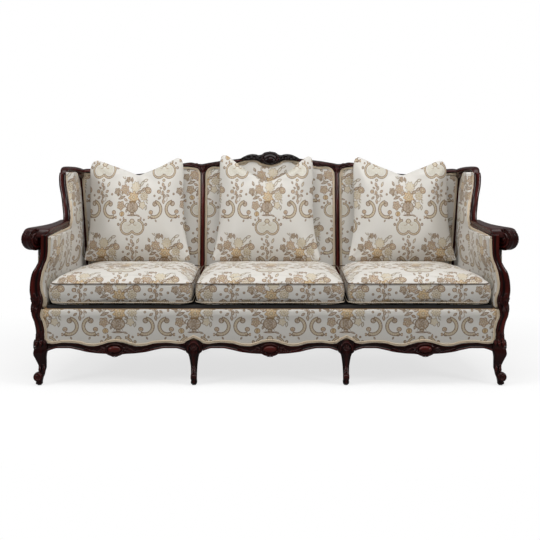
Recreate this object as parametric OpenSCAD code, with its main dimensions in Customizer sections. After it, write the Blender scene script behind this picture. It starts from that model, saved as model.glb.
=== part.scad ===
// Three-seat wing sofa on cabriole legs: carved show-wood frame, tight upholstered back,
// wings and arms, three boxed seat cushions and three knife-edge throw pillows.
// X runs to the right as the sofa is faced, Y runs from the front to the back, Z runs up.
// The origin lies on the floor, under the middle of the sofa.

/* [Overall] */
// Width over the two arm scrolls
sofa_w = 2160; // [1900:10:2500]
// Height of the crest above the floor
sofa_h = 989; // [940:1:1060]
// Height of the seat rails' top edge above the floor
seat_rail_z = 333; // [300:1:360]
// Depth from the front of the seat to the foot of the back
seat_d = 595; // [540:1:680]
// Lean of the back from upright, in degrees
recline = 11; // [6:1:16]

/* [Legs] */
// Height of the legs, up to the underside of the seat rails
leg_top_z = 196; // [170:1:220]
// Width of a corner leg's knee
leg_w = 60; // [50:1:70]
// Depth of a front leg's knee block
leg_d = 54; // [48:1:60]
// Half the width of a centre leg's knee block
centre_leg_half_w = 38; // [30:1:46]
// Distance from the middle to each inner stile and centre leg
stile_x = 330; // [260:1:380]
// Thickness of a rear leg, front to back
rear_leg_d = 45; // [38:1:56]
// Width of a rear leg
rear_leg_w = 34; // [28:1:44]
// How far a rear leg's foot stands behind its top
rear_rake = 92; // [60:1:100]
// Height of a glide
glide_h = 6; // [4:1:10]
// Radius of a glide
glide_r = 9; // [7:1:10]

/* [Seat frame] */
// Thickness of the side rails
rail_t = 30; // [24:1:36]
// Depth of the front rail, front to back
front_rail_t = 38; // [30:1:44]
// Depth of the apron at its middle, below the seat rails
apron_h = 72; // [56:1:84]
// Thickness of the upholstered front band
band_t = 12; // [8:1:18]
// Thickness of an apron behind the band
apron_back_t = 24; // [18:1:30]
// How far the side rails close in from front to back, each side
side_taper = 73; // [40:1:90]
// Thickness of the seat deck
deck_t = 14; // [10:1:18]
// Width of a seat stretcher
stretcher_w = 40; // [30:1:50]
// Height of a seat stretcher
stretcher_h = 44; // [30:1:60]
// Side of a corner block
block_w = 60; // [40:1:70]
// Height of a corner block
block_h = 80; // [60:1:100]
// Radius of a screw's shank
screw_r = 3; // [2:0.5:4]
// Radius of a screw's head
screw_head_r = 6; // [5:0.5:8]
// Thickness of a screw's head
screw_head_t = 3; // [2:0.5:4]
// Thickness of a sinuous spring's wire
spring_wire = 3.2; // [2.5:0.1:4]
// Width of a sinuous spring over its bends
spring_w = 44; // [36:1:52]
// Number of springs under each seat
springs_per_seat = 4; // [3:1:5]
// Number of bends in a spring
spring_bends = 18; // [12:2:24]
// Length of a spring clip
clip_l = 12; // [8:1:16]
// Width of a spring clip
clip_w = 30; // [20:1:40]
// Height of a spring clip
clip_h = 10; // [8:1:14]

/* [Arms and wings] */
// How far the arm scrolls stand out past the legs' inner faces
knuckle_reach = 118; // [100:1:130]
// Height of the arms' top above the floor
arm_top_z = 679; // [640:1:710]
// Thickness of an arm rail
arm_rail_t = 34; // [28:1:40]
// Distance from the front of the seat to the wings
arm_back_t = 345; // [320:1:370]
// Radius of an arm scroll
knuckle_r = 48; // [42:1:54]
// Length of an arm scroll
knuckle_l = 62; // [52:1:70]
// Turn of an arm scroll towards the front, in degrees
knuckle_turn = 35; // [20:1:45]
// Width of a wing post
wing_w = 36; // [30:1:42]
// Rake of a wing post, front to back
wing_rake = 80; // [60:1:100]
// Height of the wing posts' top above the floor
wing_top_z = 900; // [860:1:910]
// Thickness of a wing's top rail
wing_rail_t = 26; // [20:1:32]
// Thickness of the padding inside arms and wings
arm_pad_t = 16; // [12:1:20]
// Thickness of the covers outside arms and wings
cover_t = 6; // [4:1:8]

/* [Back] */
// Width of a back stile
stile_w = 22; // [18:1:28]
// Thickness of the back frame, front to back
back_frame_t = 48; // [40:1:56]
// How far the stiles stand in front of the padding
stile_proud = 8; // [4:1:10]
// Thickness of the inside-back padding
back_pad_t = 30; // [24:1:34]
// Height of the back's base rail
base_rail_h = 40; // [30:1:50]
// How far the outer stiles lean outward at the top
stile_flare = 49; // [30:1:60]
// Distance from a leg's inner face in to the foot of an outer stile's middle
stile_inset = 72; // [60:1:80]
// Width of a webbing strip
web_w = 50; // [40:1:60]
// Thickness of a webbing strip
web_t = 2; // [1:0.5:3]
// Number of webbing strips in each bay of the back
web_count = 4; // [3:1:5]
// Depth of the carved crest in front of the top rail
crest_t = 12; // [8:1:18]
// Half the width of the carved crest
crest_half_w = 150; // [120:1:180]
// Width of the gimp cord
gimp_w = 11; // [8:1:13]
// Thickness of the gimp cord
gimp_t = 5; // [3:1:6]

/* [Cushions] */
// Height of a seat cushion's box
cushion_box_h = 87; // [70:1:110]
// Crown of a seat cushion above its box
cushion_crown = 44; // [30:1:60]
// Gap between two seat cushions
cushion_gap = 4; // [2:1:8]
// Gap between a seat cushion and the arm or back
cushion_side_gap = 3; // [2:1:10]
// Side of a throw pillow
pillow_side = 505; // [420:1:520]
// Thickness of a throw pillow
pillow_t = 150; // [110:1:170]
// Lean of a throw pillow from upright, in degrees
pillow_lean = 16; // [14:1:20]
// Depth of the notch in a side pillow's top edge
notch_d = 68; // [30:1:90]
// Depth of the notch in the centre pillow's top edge
centre_notch_d = 118; // [60:1:130]

/* [Hidden] */

left = -1;
right = 1;

wood = "#3a1512";
beech = "#b58b5a";
brocade = "#cfc8bb";
gimp_colour = "#b5a48a";
steel = "#8b8d90";
black_cloth = "#2a2a2c";

// Clearance between soft pieces that rest on each other
soft_gap = 0.3;
// Clearance of a screw in its hole, on the radius
screw_gap = 0.3;
// Clearance at the ends of the back rail
joinery_gap = 0.05;
// Overrun of a cut past the face it goes through
overrun = 1;
// Size below which a coordinate is zero
rounding = 0.000001;
// Facets of round holes, screws and glides
round_fn = 32;
// Sides of a carved member's section
ring_sides = 16;
// Squareness of a carved member's section, where 2 is an ellipse
section_power = 4;

// Places that follow from the driving sizes
leg_in_x = sofa_w / 2 - knuckle_reach;
side_x = leg_in_x + rail_t - 2 * screw_gap;
toe_front_share = -0.37;
front_reach = -toe_front_share * leg_d;
rear_foot_t = seat_d + rear_leg_d + rear_rake;
back_rise = sofa_h - seat_rail_z;
frame_back = back_frame_t - stile_proud;
cover_drop_share = 0.012;
top_edge_share = 0.983;
back_top_t = seat_d + back_rise * (top_edge_share - cover_drop_share) * tan(recline)
    + (frame_back + cover_t) * cos(recline);
front_y = (front_reach - max(rear_foot_t, back_top_t)) / 2;
front_rail_back_t = band_t + front_rail_t;
stile_foot_x = leg_in_x - stile_inset;
stile_top_share = 0.84;
seat_top_z = seat_rail_z + deck_t;
deck_edge = rail_t / 2 + arm_pad_t / 2;

// Functions on numbers and tables

function mix(a, b, w) = a + (b - a) * w;
function signed_power(v, p) = sign(v) * pow(abs(v), p);
// Value of column c at place v in a table sorted by its first column
function at(table, v, c, i = 0) =
    i >= len(table) - 2 || v <= table[i + 1][0]
        ? mix(table[i][c], table[i + 1][c],
            max(0, min(1, (v - table[i][0]) / (table[i + 1][0] - table[i][0]))))
        : at(table, v, c, i + 1);

// Middle of a side rail at depth t, on the right side
function rail_x(t) = side_x - side_taper * (t - leg_d) / (seat_d - leg_d);
// Depth of the back's front plane at height z
function back_t(z) = seat_d + (z - seat_rail_z) * tan(recline);
// Distance up the back's slope of a height given as a share of the back's rise
function slope(height_share) = height_share * back_rise / cos(recline);
// Middle of an outer stile at height z
function stile_outer_x(z) = stile_foot_x
    + stile_flare * (z - seat_rail_z) / (back_rise * stile_top_share);

// Closed loop of a rounded-square section about c, spanned by the half vectors u and v
function section(c, u, v) = [for (i = [0 : ring_sides - 1])
    let (a = 360 * i / ring_sides)
    c + u * signed_power(cos(a), 2 / section_power) + v * signed_power(sin(a), 2 / section_power)];

// Level section from outer and inner x and front and back depth, at height z
function level_section(xo, xi, tf, tb, z) =
    section([(xo + xi) / 2, (tf + tb) / 2, z], [(xo - xi) / 2, 0, 0], [0, (tb - tf) / 2, 0]);

// Upright section across the run of a rail, at depth t; lean tips it back
function cross_section(xo, xi, zl, zh, t, lean = 0) =
    section([(xo + xi) / 2, t, (zl + zh) / 2], [(xi - xo) / 2, 0, 0],
        [0, (zh - zl) / 2 * lean, (zh - zl) / 2]);

// A coordinate with the rounding of sines and cosines taken off about zero
function clean(v) = abs(v) < rounding ? 0 : v;

// Middle of a loop's points
function middle(loop) = [for (v = [for (p = loop) 1] * loop / len(loop)) clean(v)];

// Closed skin over loops that run in order, each counter-clockwise seen from the last one
module skin(loops) {
    n = len(loops[0]);
    m = len(loops);
    points = concat([for (l = loops, p = l) [for (v = p) clean(v)]],
        [middle(loops[0]), middle(loops[m - 1])]);
    sides = [for (k = [0 : m - 2], i = [0 : n - 1])
        let (j = (i + 1) % n)
        each [[k * n + i, (k + 1) * n + i, (k + 1) * n + j], [k * n + i, (k + 1) * n + j, k * n + j]]];
    ends = [for (i = [0 : n - 1]) let (j = (i + 1) % n)
        each [[m * n, i, j], [m * n + 1, (m - 1) * n + j, (m - 1) * n + i]]];
    polyhedron(points = points, faces = concat(sides, ends));
}

// Everything is drawn with its depth counted from the front of the seat
module placed() translate([0, front_y, 0]) children();

// Right-hand pieces, or their mirror images on the left
module on_side(side) mirror([side < 0 ? 1 : 0, 0, 0]) placed() children();

// The back's own plane: x across, y into the back, z up its slope
module on_back() placed() translate([0, seat_d, seat_rail_z]) rotate([-recline, 0, 0]) children();

// Plate cut to an outline in x and z, from depth t0 to depth t1
module plate(points, t0, t1) translate([0, t1, 0]) rotate([90, 0, 0])
    linear_extrude(t1 - t0) polygon(points);

// Front legs

// Rows of height, outer x, inner x, front and back of the corner leg
corner_leg_shares = [
    [0.03, 0.83, 0.47, -0.11, 0.30], [0.08, 0.93, 0.43, -0.22, 0.37],
    [0.17, 1.02, 0.35, -0.30, 0.41], [0.22, 1.08, 0.28, toe_front_share, 0.44],
    [0.265, 1.03, 0.25, -0.30, 0.48], [0.315, 0.83, 0.22, -0.11, 0.52],
    [0.37, 0.67, 0.17, 0.07, 0.59], [0.475, 0.77, 0.17, 0.00, 0.67],
    [0.59, 0.93, 0.18, -0.11, 0.78], [0.70, 1.07, 0.13, -0.19, 0.89],
    [0.80, 1.02, 0.00, -0.15, 0.96], [0.91, 0.90, 0.00, -0.04, 1.00],
    [1.00, 0.93, 0.00, 0.00, 1.00]];

module front_leg(side) color(wood) on_side(side) skin([for (r = corner_leg_shares)
    level_section(leg_in_x + r[1] * leg_w, leg_in_x + r[2] * leg_w, r[3] * leg_d, r[4] * leg_d,
        max(glide_h, r[0] * leg_top_z))]);

// Rows of height, half width, front and back of a centre leg
centre_leg_shares = [
    [0.03, 0.30, -0.04, 0.33], [0.09, 0.38, -0.19, 0.41], [0.17, 0.40, -0.26, 0.44],
    [0.23, 0.39, toe_front_share, 0.48], [0.28, 0.38, -0.26, 0.52], [0.34, 0.37, -0.07, 0.56],
    [0.41, 0.37, 0.07, 0.63], [0.51, 0.45, -0.04, 0.70], [0.62, 0.53, -0.15, 0.78],
    [0.71, 0.70, -0.22, 0.85], [0.80, 0.98, -0.19, 0.85], [0.85, 1.00, -0.15, 0.85],
    [0.92, 1.00, -0.07, 0.85], [1.00, 1.00, 0.00, 0.85]];

module centre_leg(side) color(wood) on_side(side) skin([for (r = centre_leg_shares)
    level_section(stile_x + r[1] * centre_leg_half_w, stile_x - r[1] * centre_leg_half_w,
        r[2] * leg_d, r[3] * leg_d, max(glide_h, r[0] * leg_top_z))]);

// Rear legs, square and raked back

// Rows of height and backward sweep, down from the seat rails
rake_shares = [[1, 0], [0.45, 0], [0.3, 0.1], [0.15, 0.36], [0, 1]];
rear_foot_share = 0.8;

module rear_leg_at(x) translate([x, 0, 0]) rotate([90, 0, 90]) translate([0, 0, -rear_leg_w / 2])
    linear_extrude(rear_leg_w) polygon(concat(
        [for (r = rake_shares) [seat_d + r[1] * rear_rake, mix(glide_h, seat_rail_z, r[0])]],
        [for (i = [len(rake_shares) - 1 : -1 : 0]) let (r = rake_shares[i])
            [seat_d + r[1] * rear_rake + rear_leg_d * mix(1, rear_foot_share, r[1]),
                mix(glide_h, seat_rail_z, r[0])]]));

rear_leg_x = rail_x(seat_d + rear_leg_d) + rail_t / 2 - rear_leg_w / 2;

module rear_leg(side) color(wood) on_side(side) rear_leg_at(rear_leg_x);

module rear_centre_legs() color(wood) placed() for (side = [left, right])
    rear_leg_at(side * stile_x);

// Glides under all eight legs

corner_foot_x = leg_in_x + leg_w * (corner_leg_shares[0][1] + corner_leg_shares[0][2]) / 2;
corner_foot_t = leg_d * (corner_leg_shares[0][3] + corner_leg_shares[0][4]) / 2;
centre_foot_t = leg_d * (centre_leg_shares[0][2] + centre_leg_shares[0][3]) / 2;
rear_glide_t = seat_d + rear_rake + rear_leg_d * rear_foot_share / 2;

module leg_glides() color(steel) placed() for (side = [left, right],
    p = [[corner_foot_x, corner_foot_t], [stile_x, centre_foot_t],
        [rear_leg_x, rear_glide_t], [stile_x, rear_glide_t]])
    translate([side * p[0], p[1], 0]) cylinder(h = glide_h, r = glide_r, $fn = round_fn);

// Arm posts and arm rails

post_h = arm_top_z - arm_rail_t * 0.8 - leg_top_z;
// Rows of height, outer x, inner x, front and back of the arm post
post_shares = [
    [0.00, 0.93, 0.20, 0.00, 0.89], [0.08, 0.87, 0.20, 0.00, 0.89],
    [0.17, 0.97, 0.32, -0.04, 0.87], [0.24, 1.15, 0.50, -0.04, 0.87],
    [0.32, 1.22, 0.37, 0.00, 0.90], [0.38, 1.12, 0.30, 0.04, 0.93],
    [0.41, 1.23, 0.33, 0.06, 0.95], [0.475, 1.30, 0.47, 0.10, 1.00],
    [0.535, 1.28, 0.50, 0.15, 1.03], [0.585, 1.23, 0.45, 0.20, 1.07],
    [0.64, 1.12, 0.37, 0.25, 1.11], [0.705, 0.83, 0.22, 0.33, 1.17],
    [0.775, 0.60, 0.02, 0.40, 1.22], [0.845, 0.53, -0.05, 0.45, 1.26],
    [0.93, 0.53, -0.07, 0.48, 1.30], [1.00, 0.53, -0.07, 0.50, 1.30]];

function post_z(height_share) = leg_top_z + height_share * post_h;
function post_share_at(z, column) = at(post_shares, (z - leg_top_z) / post_h, column);
function post_inner_x(z) = leg_in_x + leg_w * post_share_at(z, 2);
function post_back_t(z) = leg_d * post_share_at(z, 4);

// Middle of the scroll's carved face
knuckle_face_x = leg_in_x + 0.4 * knuckle_reach;
knuckle_face_t = 0.7 * leg_d;
knuckle_z = arm_top_z - knuckle_r;
// Rows of distance along the scroll and radius
knuckle_shares = [[0, 0], [0, 0.9], [0.06, 1], [0.6, 1], [0.86, 0.84], [0.97, 0.55], [1, 0]];

module knuckle() translate([knuckle_face_x, knuckle_face_t, knuckle_z])
    rotate([0, 90, knuckle_turn]) rotate_extrude($fn = 48)
        polygon([for (r = knuckle_shares) [r[1] * knuckle_r, r[0] * knuckle_l]]);

// Rows of depth, outer x, inner x, lower and upper edge of the arm rail
arm_rail_shares = [
    [0.08, 0.81, 0.03, -1.15, -0.32], [0.13, 0.88, -0.03, -1.09, -0.09],
    [0.22, 0.86, -0.08, -0.97, 0.00], [0.32, 0.70, -0.12, -0.91, 0.03],
    [0.49, 0.49, -0.17, -0.85, 0.03], [0.67, 0.31, -0.22, -0.79, 0.06],
    [0.84, 0.17, -0.27, -0.74, 0.15], [1.00, 0.08, -0.31, -0.68, 0.26]];

module arm_rail_bar() skin([for (r = arm_rail_shares)
    cross_section(leg_in_x + r[1] * knuckle_reach, leg_in_x + r[2] * knuckle_reach,
        arm_top_z + r[3] * arm_rail_t, arm_top_z + r[4] * arm_rail_t, r[0] * arm_back_t)]);

module arm_rail(side) color(wood) on_side(side) union() {
    arm_rail_bar();
    knuckle();
}

module arm_post(side) color(wood) on_side(side) difference() {
    skin([for (r = post_shares) level_section(leg_in_x + r[1] * leg_w, leg_in_x + r[2] * leg_w,
        r[3] * leg_d, r[4] * leg_d, post_z(r[0]))]);
    arm_rail_bar();
    knuckle();
}

// Wing posts and their top rails

wing_x = leg_in_x - wing_w / 3;
// Rows of height, outer x, inner x, front and back of the wing post
wing_post_shares = [
    [0.00, 0.30, -0.33, 0.00, 0.50], [0.54, 0.30, -0.44, 0.00, 0.50],
    [0.58, 0.28, -0.70, 0.00, 0.54], [0.64, 0.17, -0.80, 0.06, 0.59],
    [0.73, 0.42, -0.58, 0.29, 0.84], [0.81, 0.72, -0.22, 0.54, 1.09],
    [0.91, 1.14, 0.17, 0.75, 1.31], [0.965, 1.19, 0.25, 0.84, 1.41],
    [1.00, 1.11, 0.22, 0.89, 1.46]];
wing_post_h = wing_top_z - seat_rail_z;

function wing_share_at(z, column) = at(wing_post_shares, (z - seat_rail_z) / wing_post_h, column);
function wing_inner_x(z) = wing_x + wing_w * wing_share_at(z, 2);
function wing_outer_x(z) = wing_x + wing_w * wing_share_at(z, 1);
function wing_front_t(z) = arm_back_t + wing_rake * wing_share_at(z, 3);
function wing_back_t(z) = arm_back_t + wing_rake * wing_share_at(z, 4);

module wing_post(side) color(wood) on_side(side) skin([for (r = wing_post_shares)
    level_section(wing_x + r[1] * wing_w, wing_x + r[2] * wing_w, arm_back_t + r[3] * wing_rake,
        arm_back_t + r[4] * wing_rake, seat_rail_z + r[0] * wing_post_h)]);

// Rows of run, outer x, inner x, lower and upper edge of the wing's top rail
wing_rail_shares = [
    [0.00, 1.11, 0.22, 0.00, 1.00], [0.16, 0.97, 0.08, 0.00, 1.04],
    [0.52, 0.47, -0.36, -0.12, 0.85], [0.80, 0.00, -0.78, -0.35, 0.54],
    [1.00, -0.22, -0.94, -0.62, 0.23]];
wing_rail_front_t = arm_back_t + wing_rake * 0.88;

function wing_rail_end_t() = back_t(wing_top_z + wing_rail_t
    * (wing_rail_shares[4][3] + wing_rail_shares[4][4]) / 2) - stile_proud / cos(recline);

module wing_rail(side) color(wood) on_side(side) skin([for (r = wing_rail_shares)
    cross_section(wing_x + r[1] * wing_w, wing_x + r[2] * wing_w, wing_top_z + r[3] * wing_rail_t,
        wing_top_z + r[4] * wing_rail_t, mix(wing_rail_front_t, wing_rail_end_t(), r[0]),
        r[0] * tan(recline))]);

// Back frame

back_half = stile_foot_x + stile_flare + stile_w / 2;
// Rows of x and height along the lower edge of the top rail, from the middle outward
rail_low_centre_shares = [[0, 0.901], [0.137, 0.916], [0.197, 0.933], [0.268, 0.942],
    [0.375, 0.933], [0.79, 0.887]];
rail_low_corner_shares = [[0.5, 0.890], [1.3, 0.875], [2.0, 0.865]];
rail_low_side_shares = [[0.12, 0.887], [0.2, 0.884], [0.42, 0.822], [0.62, 0.800],
    [0.83, 0.822], [0.94, 0.842]];
// Rows of run and height along the upper edge of the top rail: from the back's side in to the
// inner stiles, and from there to the middle
rail_high_side_shares = [[1, 0.861], [0.958, 0.867], [0.916, 0.872], [0.758, 0.854],
    [0.548, 0.832], [0.372, 0.854], [0.17, 0.910], [0.096, 0.919], [0.047, 0.910], [0.01, 0.907]];
rail_high_centre_shares = [[0.95, 0.913], [0.766, 0.928], [0.443, 0.948], [0.334, 0.959],
    [0.181, 0.965], [0, top_edge_share]];
// Points of x and height share along that edge
rail_high = concat([for (r = rail_high_side_shares) [mix(stile_x, back_half, r[0]), r[1]]],
    [for (r = rail_high_centre_shares) [r[0] * stile_x, r[1]]]);

stile_in = stile_x - stile_w / 2;
stile_out = stile_x + stile_w / 2;
outer_stile_in = back_half - stile_w;

centre_top_edge = concat(
    [for (r = rail_low_centre_shares) [r[0] * stile_in, slope(r[1])]],
    [[stile_in - stile_w * 1.9, slope(rail_low_corner_shares[0][1])],
        [stile_in - stile_w * 0.75, slope(rail_low_corner_shares[1][1])],
        [stile_in, slope(stile_top_share)]]);
side_top_edge = concat([[stile_out, slope(stile_top_share)],
        [stile_out + stile_w * 0.8, slope(rail_low_corner_shares[1][1])]],
    [for (r = rail_low_side_shares) [mix(stile_out, outer_stile_in, r[0]), slope(r[1])]],
    [[outer_stile_in, slope(stile_top_share)]]);

function flipped(points) = [for (i = [len(points) - 1 : -1 : 0]) [-points[i][0], points[i][1]]];
function reversed(points) = [for (i = [len(points) - 1 : -1 : 0]) points[i]];

rail_half = concat([for (r = reversed(rail_high)) [r[0], slope(r[1])]],
    [[back_half, slope(stile_top_share)]], reversed(side_top_edge), reversed(centre_top_edge));
centre_panel_edge = [for (i = [1 : len(centre_top_edge) - 1]) centre_top_edge[i]];
rail_right = [for (i = [1 : len(rail_half) - 2]) rail_half[i]];

module top_rail() color(wood) on_back() plate(concat([rail_half[0]], rail_right,
    [centre_top_edge[0]], flipped(rail_right)), -stile_proud, back_frame_t - stile_proud);

// Rows of x and height of the crest's outline, from its top around the right side
crest_shares = [[0, 1], [0.17, 0.91], [0.3, 0.75], [0.38, 0.75], [0.57, 0.81], [0.82, 0.67],
    [1, 0.43], [0.93, 0.33], [0.57, 0.3], [0.42, 0.22], [0.29, 0.15], [0, 0]];
crest_low_share = 0.895;
crest_edge = [for (r = crest_shares)
    [r[0] * crest_half_w, mix(slope(crest_low_share), slope(1), r[1])]];
crest_right = [for (i = [1 : len(crest_edge) - 2]) crest_edge[i]];

module crest_carving() color(wood) on_back() plate(concat([crest_edge[0]], crest_right,
    [crest_edge[len(crest_edge) - 1]], flipped(crest_right)), -stile_proud - crest_t, -stile_proud);

base_top = base_rail_h / cos(recline);

module back_stile_outer(side) color(wood) mirror([side < 0 ? 1 : 0, 0, 0]) on_back()
    plate([[stile_foot_x - stile_w / 2, base_top], [stile_foot_x + stile_w / 2, base_top],
        [back_half, slope(stile_top_share)], [outer_stile_in, slope(stile_top_share)]],
        -stile_proud, frame_back);

module back_stile_inner(side) color(wood) mirror([side < 0 ? 1 : 0, 0, 0]) on_back()
    plate([[stile_in, base_top], [stile_out, base_top], [stile_out, slope(stile_top_share)],
        [stile_in, slope(stile_top_share)]], -stile_proud, frame_back);

base_half = rail_x(seat_d) + rail_t / 2 - cover_t;

module back_base_rail() color(beech) placed() translate([-base_half, 0, 0]) rotate([90, 0, 90])
    linear_extrude(2 * base_half) polygon([
        [seat_d, seat_rail_z],
        [seat_d + frame_back / cos(recline), seat_rail_z],
        [seat_d + base_top * sin(recline) + frame_back * cos(recline),
            seat_rail_z + base_top * cos(recline) - frame_back * sin(recline)],
        [seat_d + base_top * sin(recline), seat_rail_z + base_top * cos(recline)]]);

side_pad_edge = concat([[stile_out, base_top]], side_top_edge,
    [[stile_foot_x - stile_w / 2, base_top]]);

module inside_back_side(side) color(brocade) mirror([side < 0 ? 1 : 0, 0, 0]) on_back()
    plate(side_pad_edge, 0, back_pad_t);

centre_pad_edge = concat([[stile_in, base_top]], reversed(centre_panel_edge),
    [centre_top_edge[0]], flipped(reversed(centre_panel_edge)), [[-stile_in, base_top]]);

module inside_back_centre() color(brocade) on_back() plate(centre_pad_edge, 0, back_pad_t);

module web_strip(x0, x1, s) translate([x0, back_pad_t, s]) cube([x1 - x0, web_t, web_w]);

module back_webbing() color(black_cloth) on_back() for (i = [1 : web_count])
    let (s = base_top + (slope(stile_top_share) - base_top) * i / (web_count + 1) - web_w / 2) {
        web_strip(-stile_in, stile_in, s);
        web_strip(stile_out, stile_foot_x - stile_w / 2, s);
        web_strip(-(stile_foot_x - stile_w / 2), -stile_out, s);
    }

cover_edge = [for (r = rail_high) [r[0], slope(r[1] - cover_drop_share)]];
cover_right = [for (i = [0 : len(cover_edge) - 2]) cover_edge[i]];
cover_low = (frame_back + cover_t) * tan(recline);

module outside_back() color(brocade) on_back()
    plate(concat(cover_right, [cover_edge[len(cover_edge) - 1]], flipped(cover_right),
        [[-base_half, cover_low], [base_half, cover_low]]), frame_back, frame_back + cover_t);

module gimp_ring(points) rotate([90, 0, 0]) linear_extrude(gimp_t)
    difference() {
        polygon(points);
        offset(delta = -gimp_w) polygon(points);
    }

module gimp_back() color(gimp_colour) on_back() {
    gimp_ring(centre_pad_edge);
    for (side = [left, right]) mirror([side < 0 ? 1 : 0, 0, 0]) gimp_ring(side_pad_edge);
}

// Seat frame

module front_rail() color(beech) placed()
    translate([-(leg_in_x + leg_w * 0.2), band_t, leg_top_z])
        cube([2 * (leg_in_x + leg_w * 0.2), front_rail_t, seat_rail_z - leg_top_z]);

module side_rail(side) color(beech) on_side(side) translate([0, 0, leg_top_z])
    linear_extrude(seat_rail_z - leg_top_z) polygon([
        [rail_x(leg_d) - rail_t / 2, leg_d], [rail_x(leg_d) + rail_t / 2, leg_d],
        [rail_x(seat_d) + rail_t / 2, seat_d], [rail_x(seat_d) - rail_t / 2, seat_d]]);

back_rail_half = rear_leg_x - rear_leg_w / 2 - joinery_gap;

module back_rail() color(beech) placed() difference() {
    translate([-back_rail_half, seat_d, leg_top_z])
        cube([2 * back_rail_half, rail_t, seat_rail_z - leg_top_z]);
    for (side = [left, right]) translate([side * stile_x - rear_leg_w / 2, seat_d - overrun,
        leg_top_z - overrun])
        cube([rear_leg_w, rail_t + 2 * overrun, seat_rail_z - leg_top_z + 2 * overrun]);
}

module seat_stretchers() color(beech) placed() for (side = [left, right])
    translate([side * stile_x - stretcher_w / 2, front_rail_back_t, seat_rail_z - stretcher_h])
        cube([stretcher_w, seat_d - front_rail_back_t, stretcher_h]);

// Inner face of a side rail at depth t
function rail_in_x(t) = rail_x(t) - rail_t / 2;

block_z = (leg_top_z + seat_rail_z - block_h) / 2;
block_front_t = leg_d;
block_rear_t = seat_d - block_w;
// Rows of the near and far depth of each corner block, and the side its straight face is on
block_places = [[block_front_t, block_front_t + block_w], [block_rear_t, seat_d]];
screw_height_shares = [0.28, 0.72];

// Plan of a corner block that fills the angle between two rails
function block_plan(t0, t1) = [[rail_in_x(t0), t0], [rail_in_x(t1), t1],
    [rail_in_x(seat_d) - block_w, t1], [rail_in_x(seat_d) - block_w, t0]];

block_face_x = rail_in_x(seat_d) - block_w;

module corner_blocks() color(beech) placed() for (side = [left, right])
    mirror([side < 0 ? 1 : 0, 0, 0]) for (p = block_places) difference() {
        translate([0, 0, block_z]) linear_extrude(block_h) polygon(block_plan(p[0], p[1]));
        for (h = screw_height_shares) translate([block_face_x - overrun, (p[0] + p[1]) / 2,
            block_z + h * block_h]) rotate([0, 90, 0])
            cylinder(h = block_w + side_taper + 2 * overrun, r = screw_r + screw_gap,
                $fn = round_fn);
    }

module frame_screws() color(steel) placed() for (side = [left, right])
    mirror([side < 0 ? 1 : 0, 0, 0]) for (p = block_places, h = screw_height_shares)
        let (t = (p[0] + p[1]) / 2)
        translate([block_face_x, t, block_z + h * block_h]) rotate([0, 90, 0]) {
            translate([0, 0, -screw_head_t])
                cylinder(h = screw_head_t, r = screw_head_r, $fn = round_fn);
            cylinder(h = rail_in_x(t + screw_r) - block_face_x - screw_gap, r = screw_r,
                $fn = round_fn);
        }

// Aprons and their carved cartouches

// Rows of run from either end and depth below the seat rails
apron_low_shares = [[0, 0.64], [0.024, 0.53], [0.07, 0.39], [0.145, 0.39], [0.217, 0.54],
    [0.29, 0.71], [0.386, 0.82], [0.433, 0.86], [0.5, 0.97]];
apron_high_shares = [[0, 0.15], [0.04, 0.2], [0.13, 0.125], [0.22, 0.17], [0.332, 0.35],
    [0.40, 0.33], [0.44, 0.14], [0.5, 0.09]];

function apron_run(shares, x0, x1) = concat(
    [for (r = shares) [mix(x0, x1, r[0]), leg_top_z - apron_h * r[1]]],
    [for (i = [len(shares) - 2 : -1 : 0]) [mix(x1, x0, shares[i][0]),
        leg_top_z - apron_h * shares[i][1]]]);

apron_outer_x = leg_in_x;
apron_side_in = stile_x + centre_leg_half_w;
apron_side_mid = (apron_outer_x + apron_side_in) / 2;
apron_centre_half = stile_x - centre_leg_half_w;

module apron_board(x0, x1) {
    plate(concat(apron_run(apron_low_shares, x0, x1),
        reversed(apron_run(apron_high_shares, x0, x1))), 0, band_t);
    plate(concat(apron_run(apron_low_shares, x0, x1), [[x1, leg_top_z], [x0, leg_top_z]]),
        band_t, band_t + apron_back_t);
}

module apron_side(side) color(wood) on_side(side) apron_board(apron_side_in, apron_outer_x);

module apron_centre() color(wood) placed() apron_board(-apron_centre_half, apron_centre_half);

cartouche_w = leg_w * 1.5;
cartouche_h = apron_h * 0.93;
cartouche_t = band_t * 0.75;
cartouche_z = leg_top_z - apron_h * 0.6;
boss_share = 0.56;
cartouche_sides = 24;

module oval(w, h) polygon([for (i = [0 : cartouche_sides - 1])
    let (a = 360 * i / cartouche_sides) [w / 2 * cos(a), h / 2 * sin(a)]]);

module apron_cartouches() color(wood) placed()
    for (x = [-apron_side_mid, 0, apron_side_mid]) translate([x, 0, cartouche_z])
        rotate([90, 0, 0]) {
            linear_extrude(cartouche_t) oval(cartouche_w, cartouche_h);
            linear_extrude(2 * cartouche_t) oval(cartouche_w * boss_share,
                cartouche_h * boss_share);
        }

// Front band of upholstery, between the posts and above the aprons

band_side_heights = [for (i = [0 : 8]) mix(leg_top_z, seat_rail_z, i / 8)];
band_right_edge = [for (z = band_side_heights) [post_inner_x(z), z]];
band_low_edge = concat(apron_run(apron_high_shares, -apron_centre_half, apron_centre_half),
    [[apron_centre_half, leg_top_z], [apron_side_in, leg_top_z]],
    apron_run(apron_high_shares, apron_side_in, apron_outer_x),
    [[apron_outer_x, leg_top_z]]);
band_low_right = [for (p = band_low_edge) if (p[0] >= 0) p];
band_edge = concat(band_low_right, band_right_edge, flipped(concat(
    [for (p = band_low_right) if (p[0] > 0) p], band_right_edge)));

module front_band() color(brocade) placed() plate(band_edge, 0, band_t);

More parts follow.
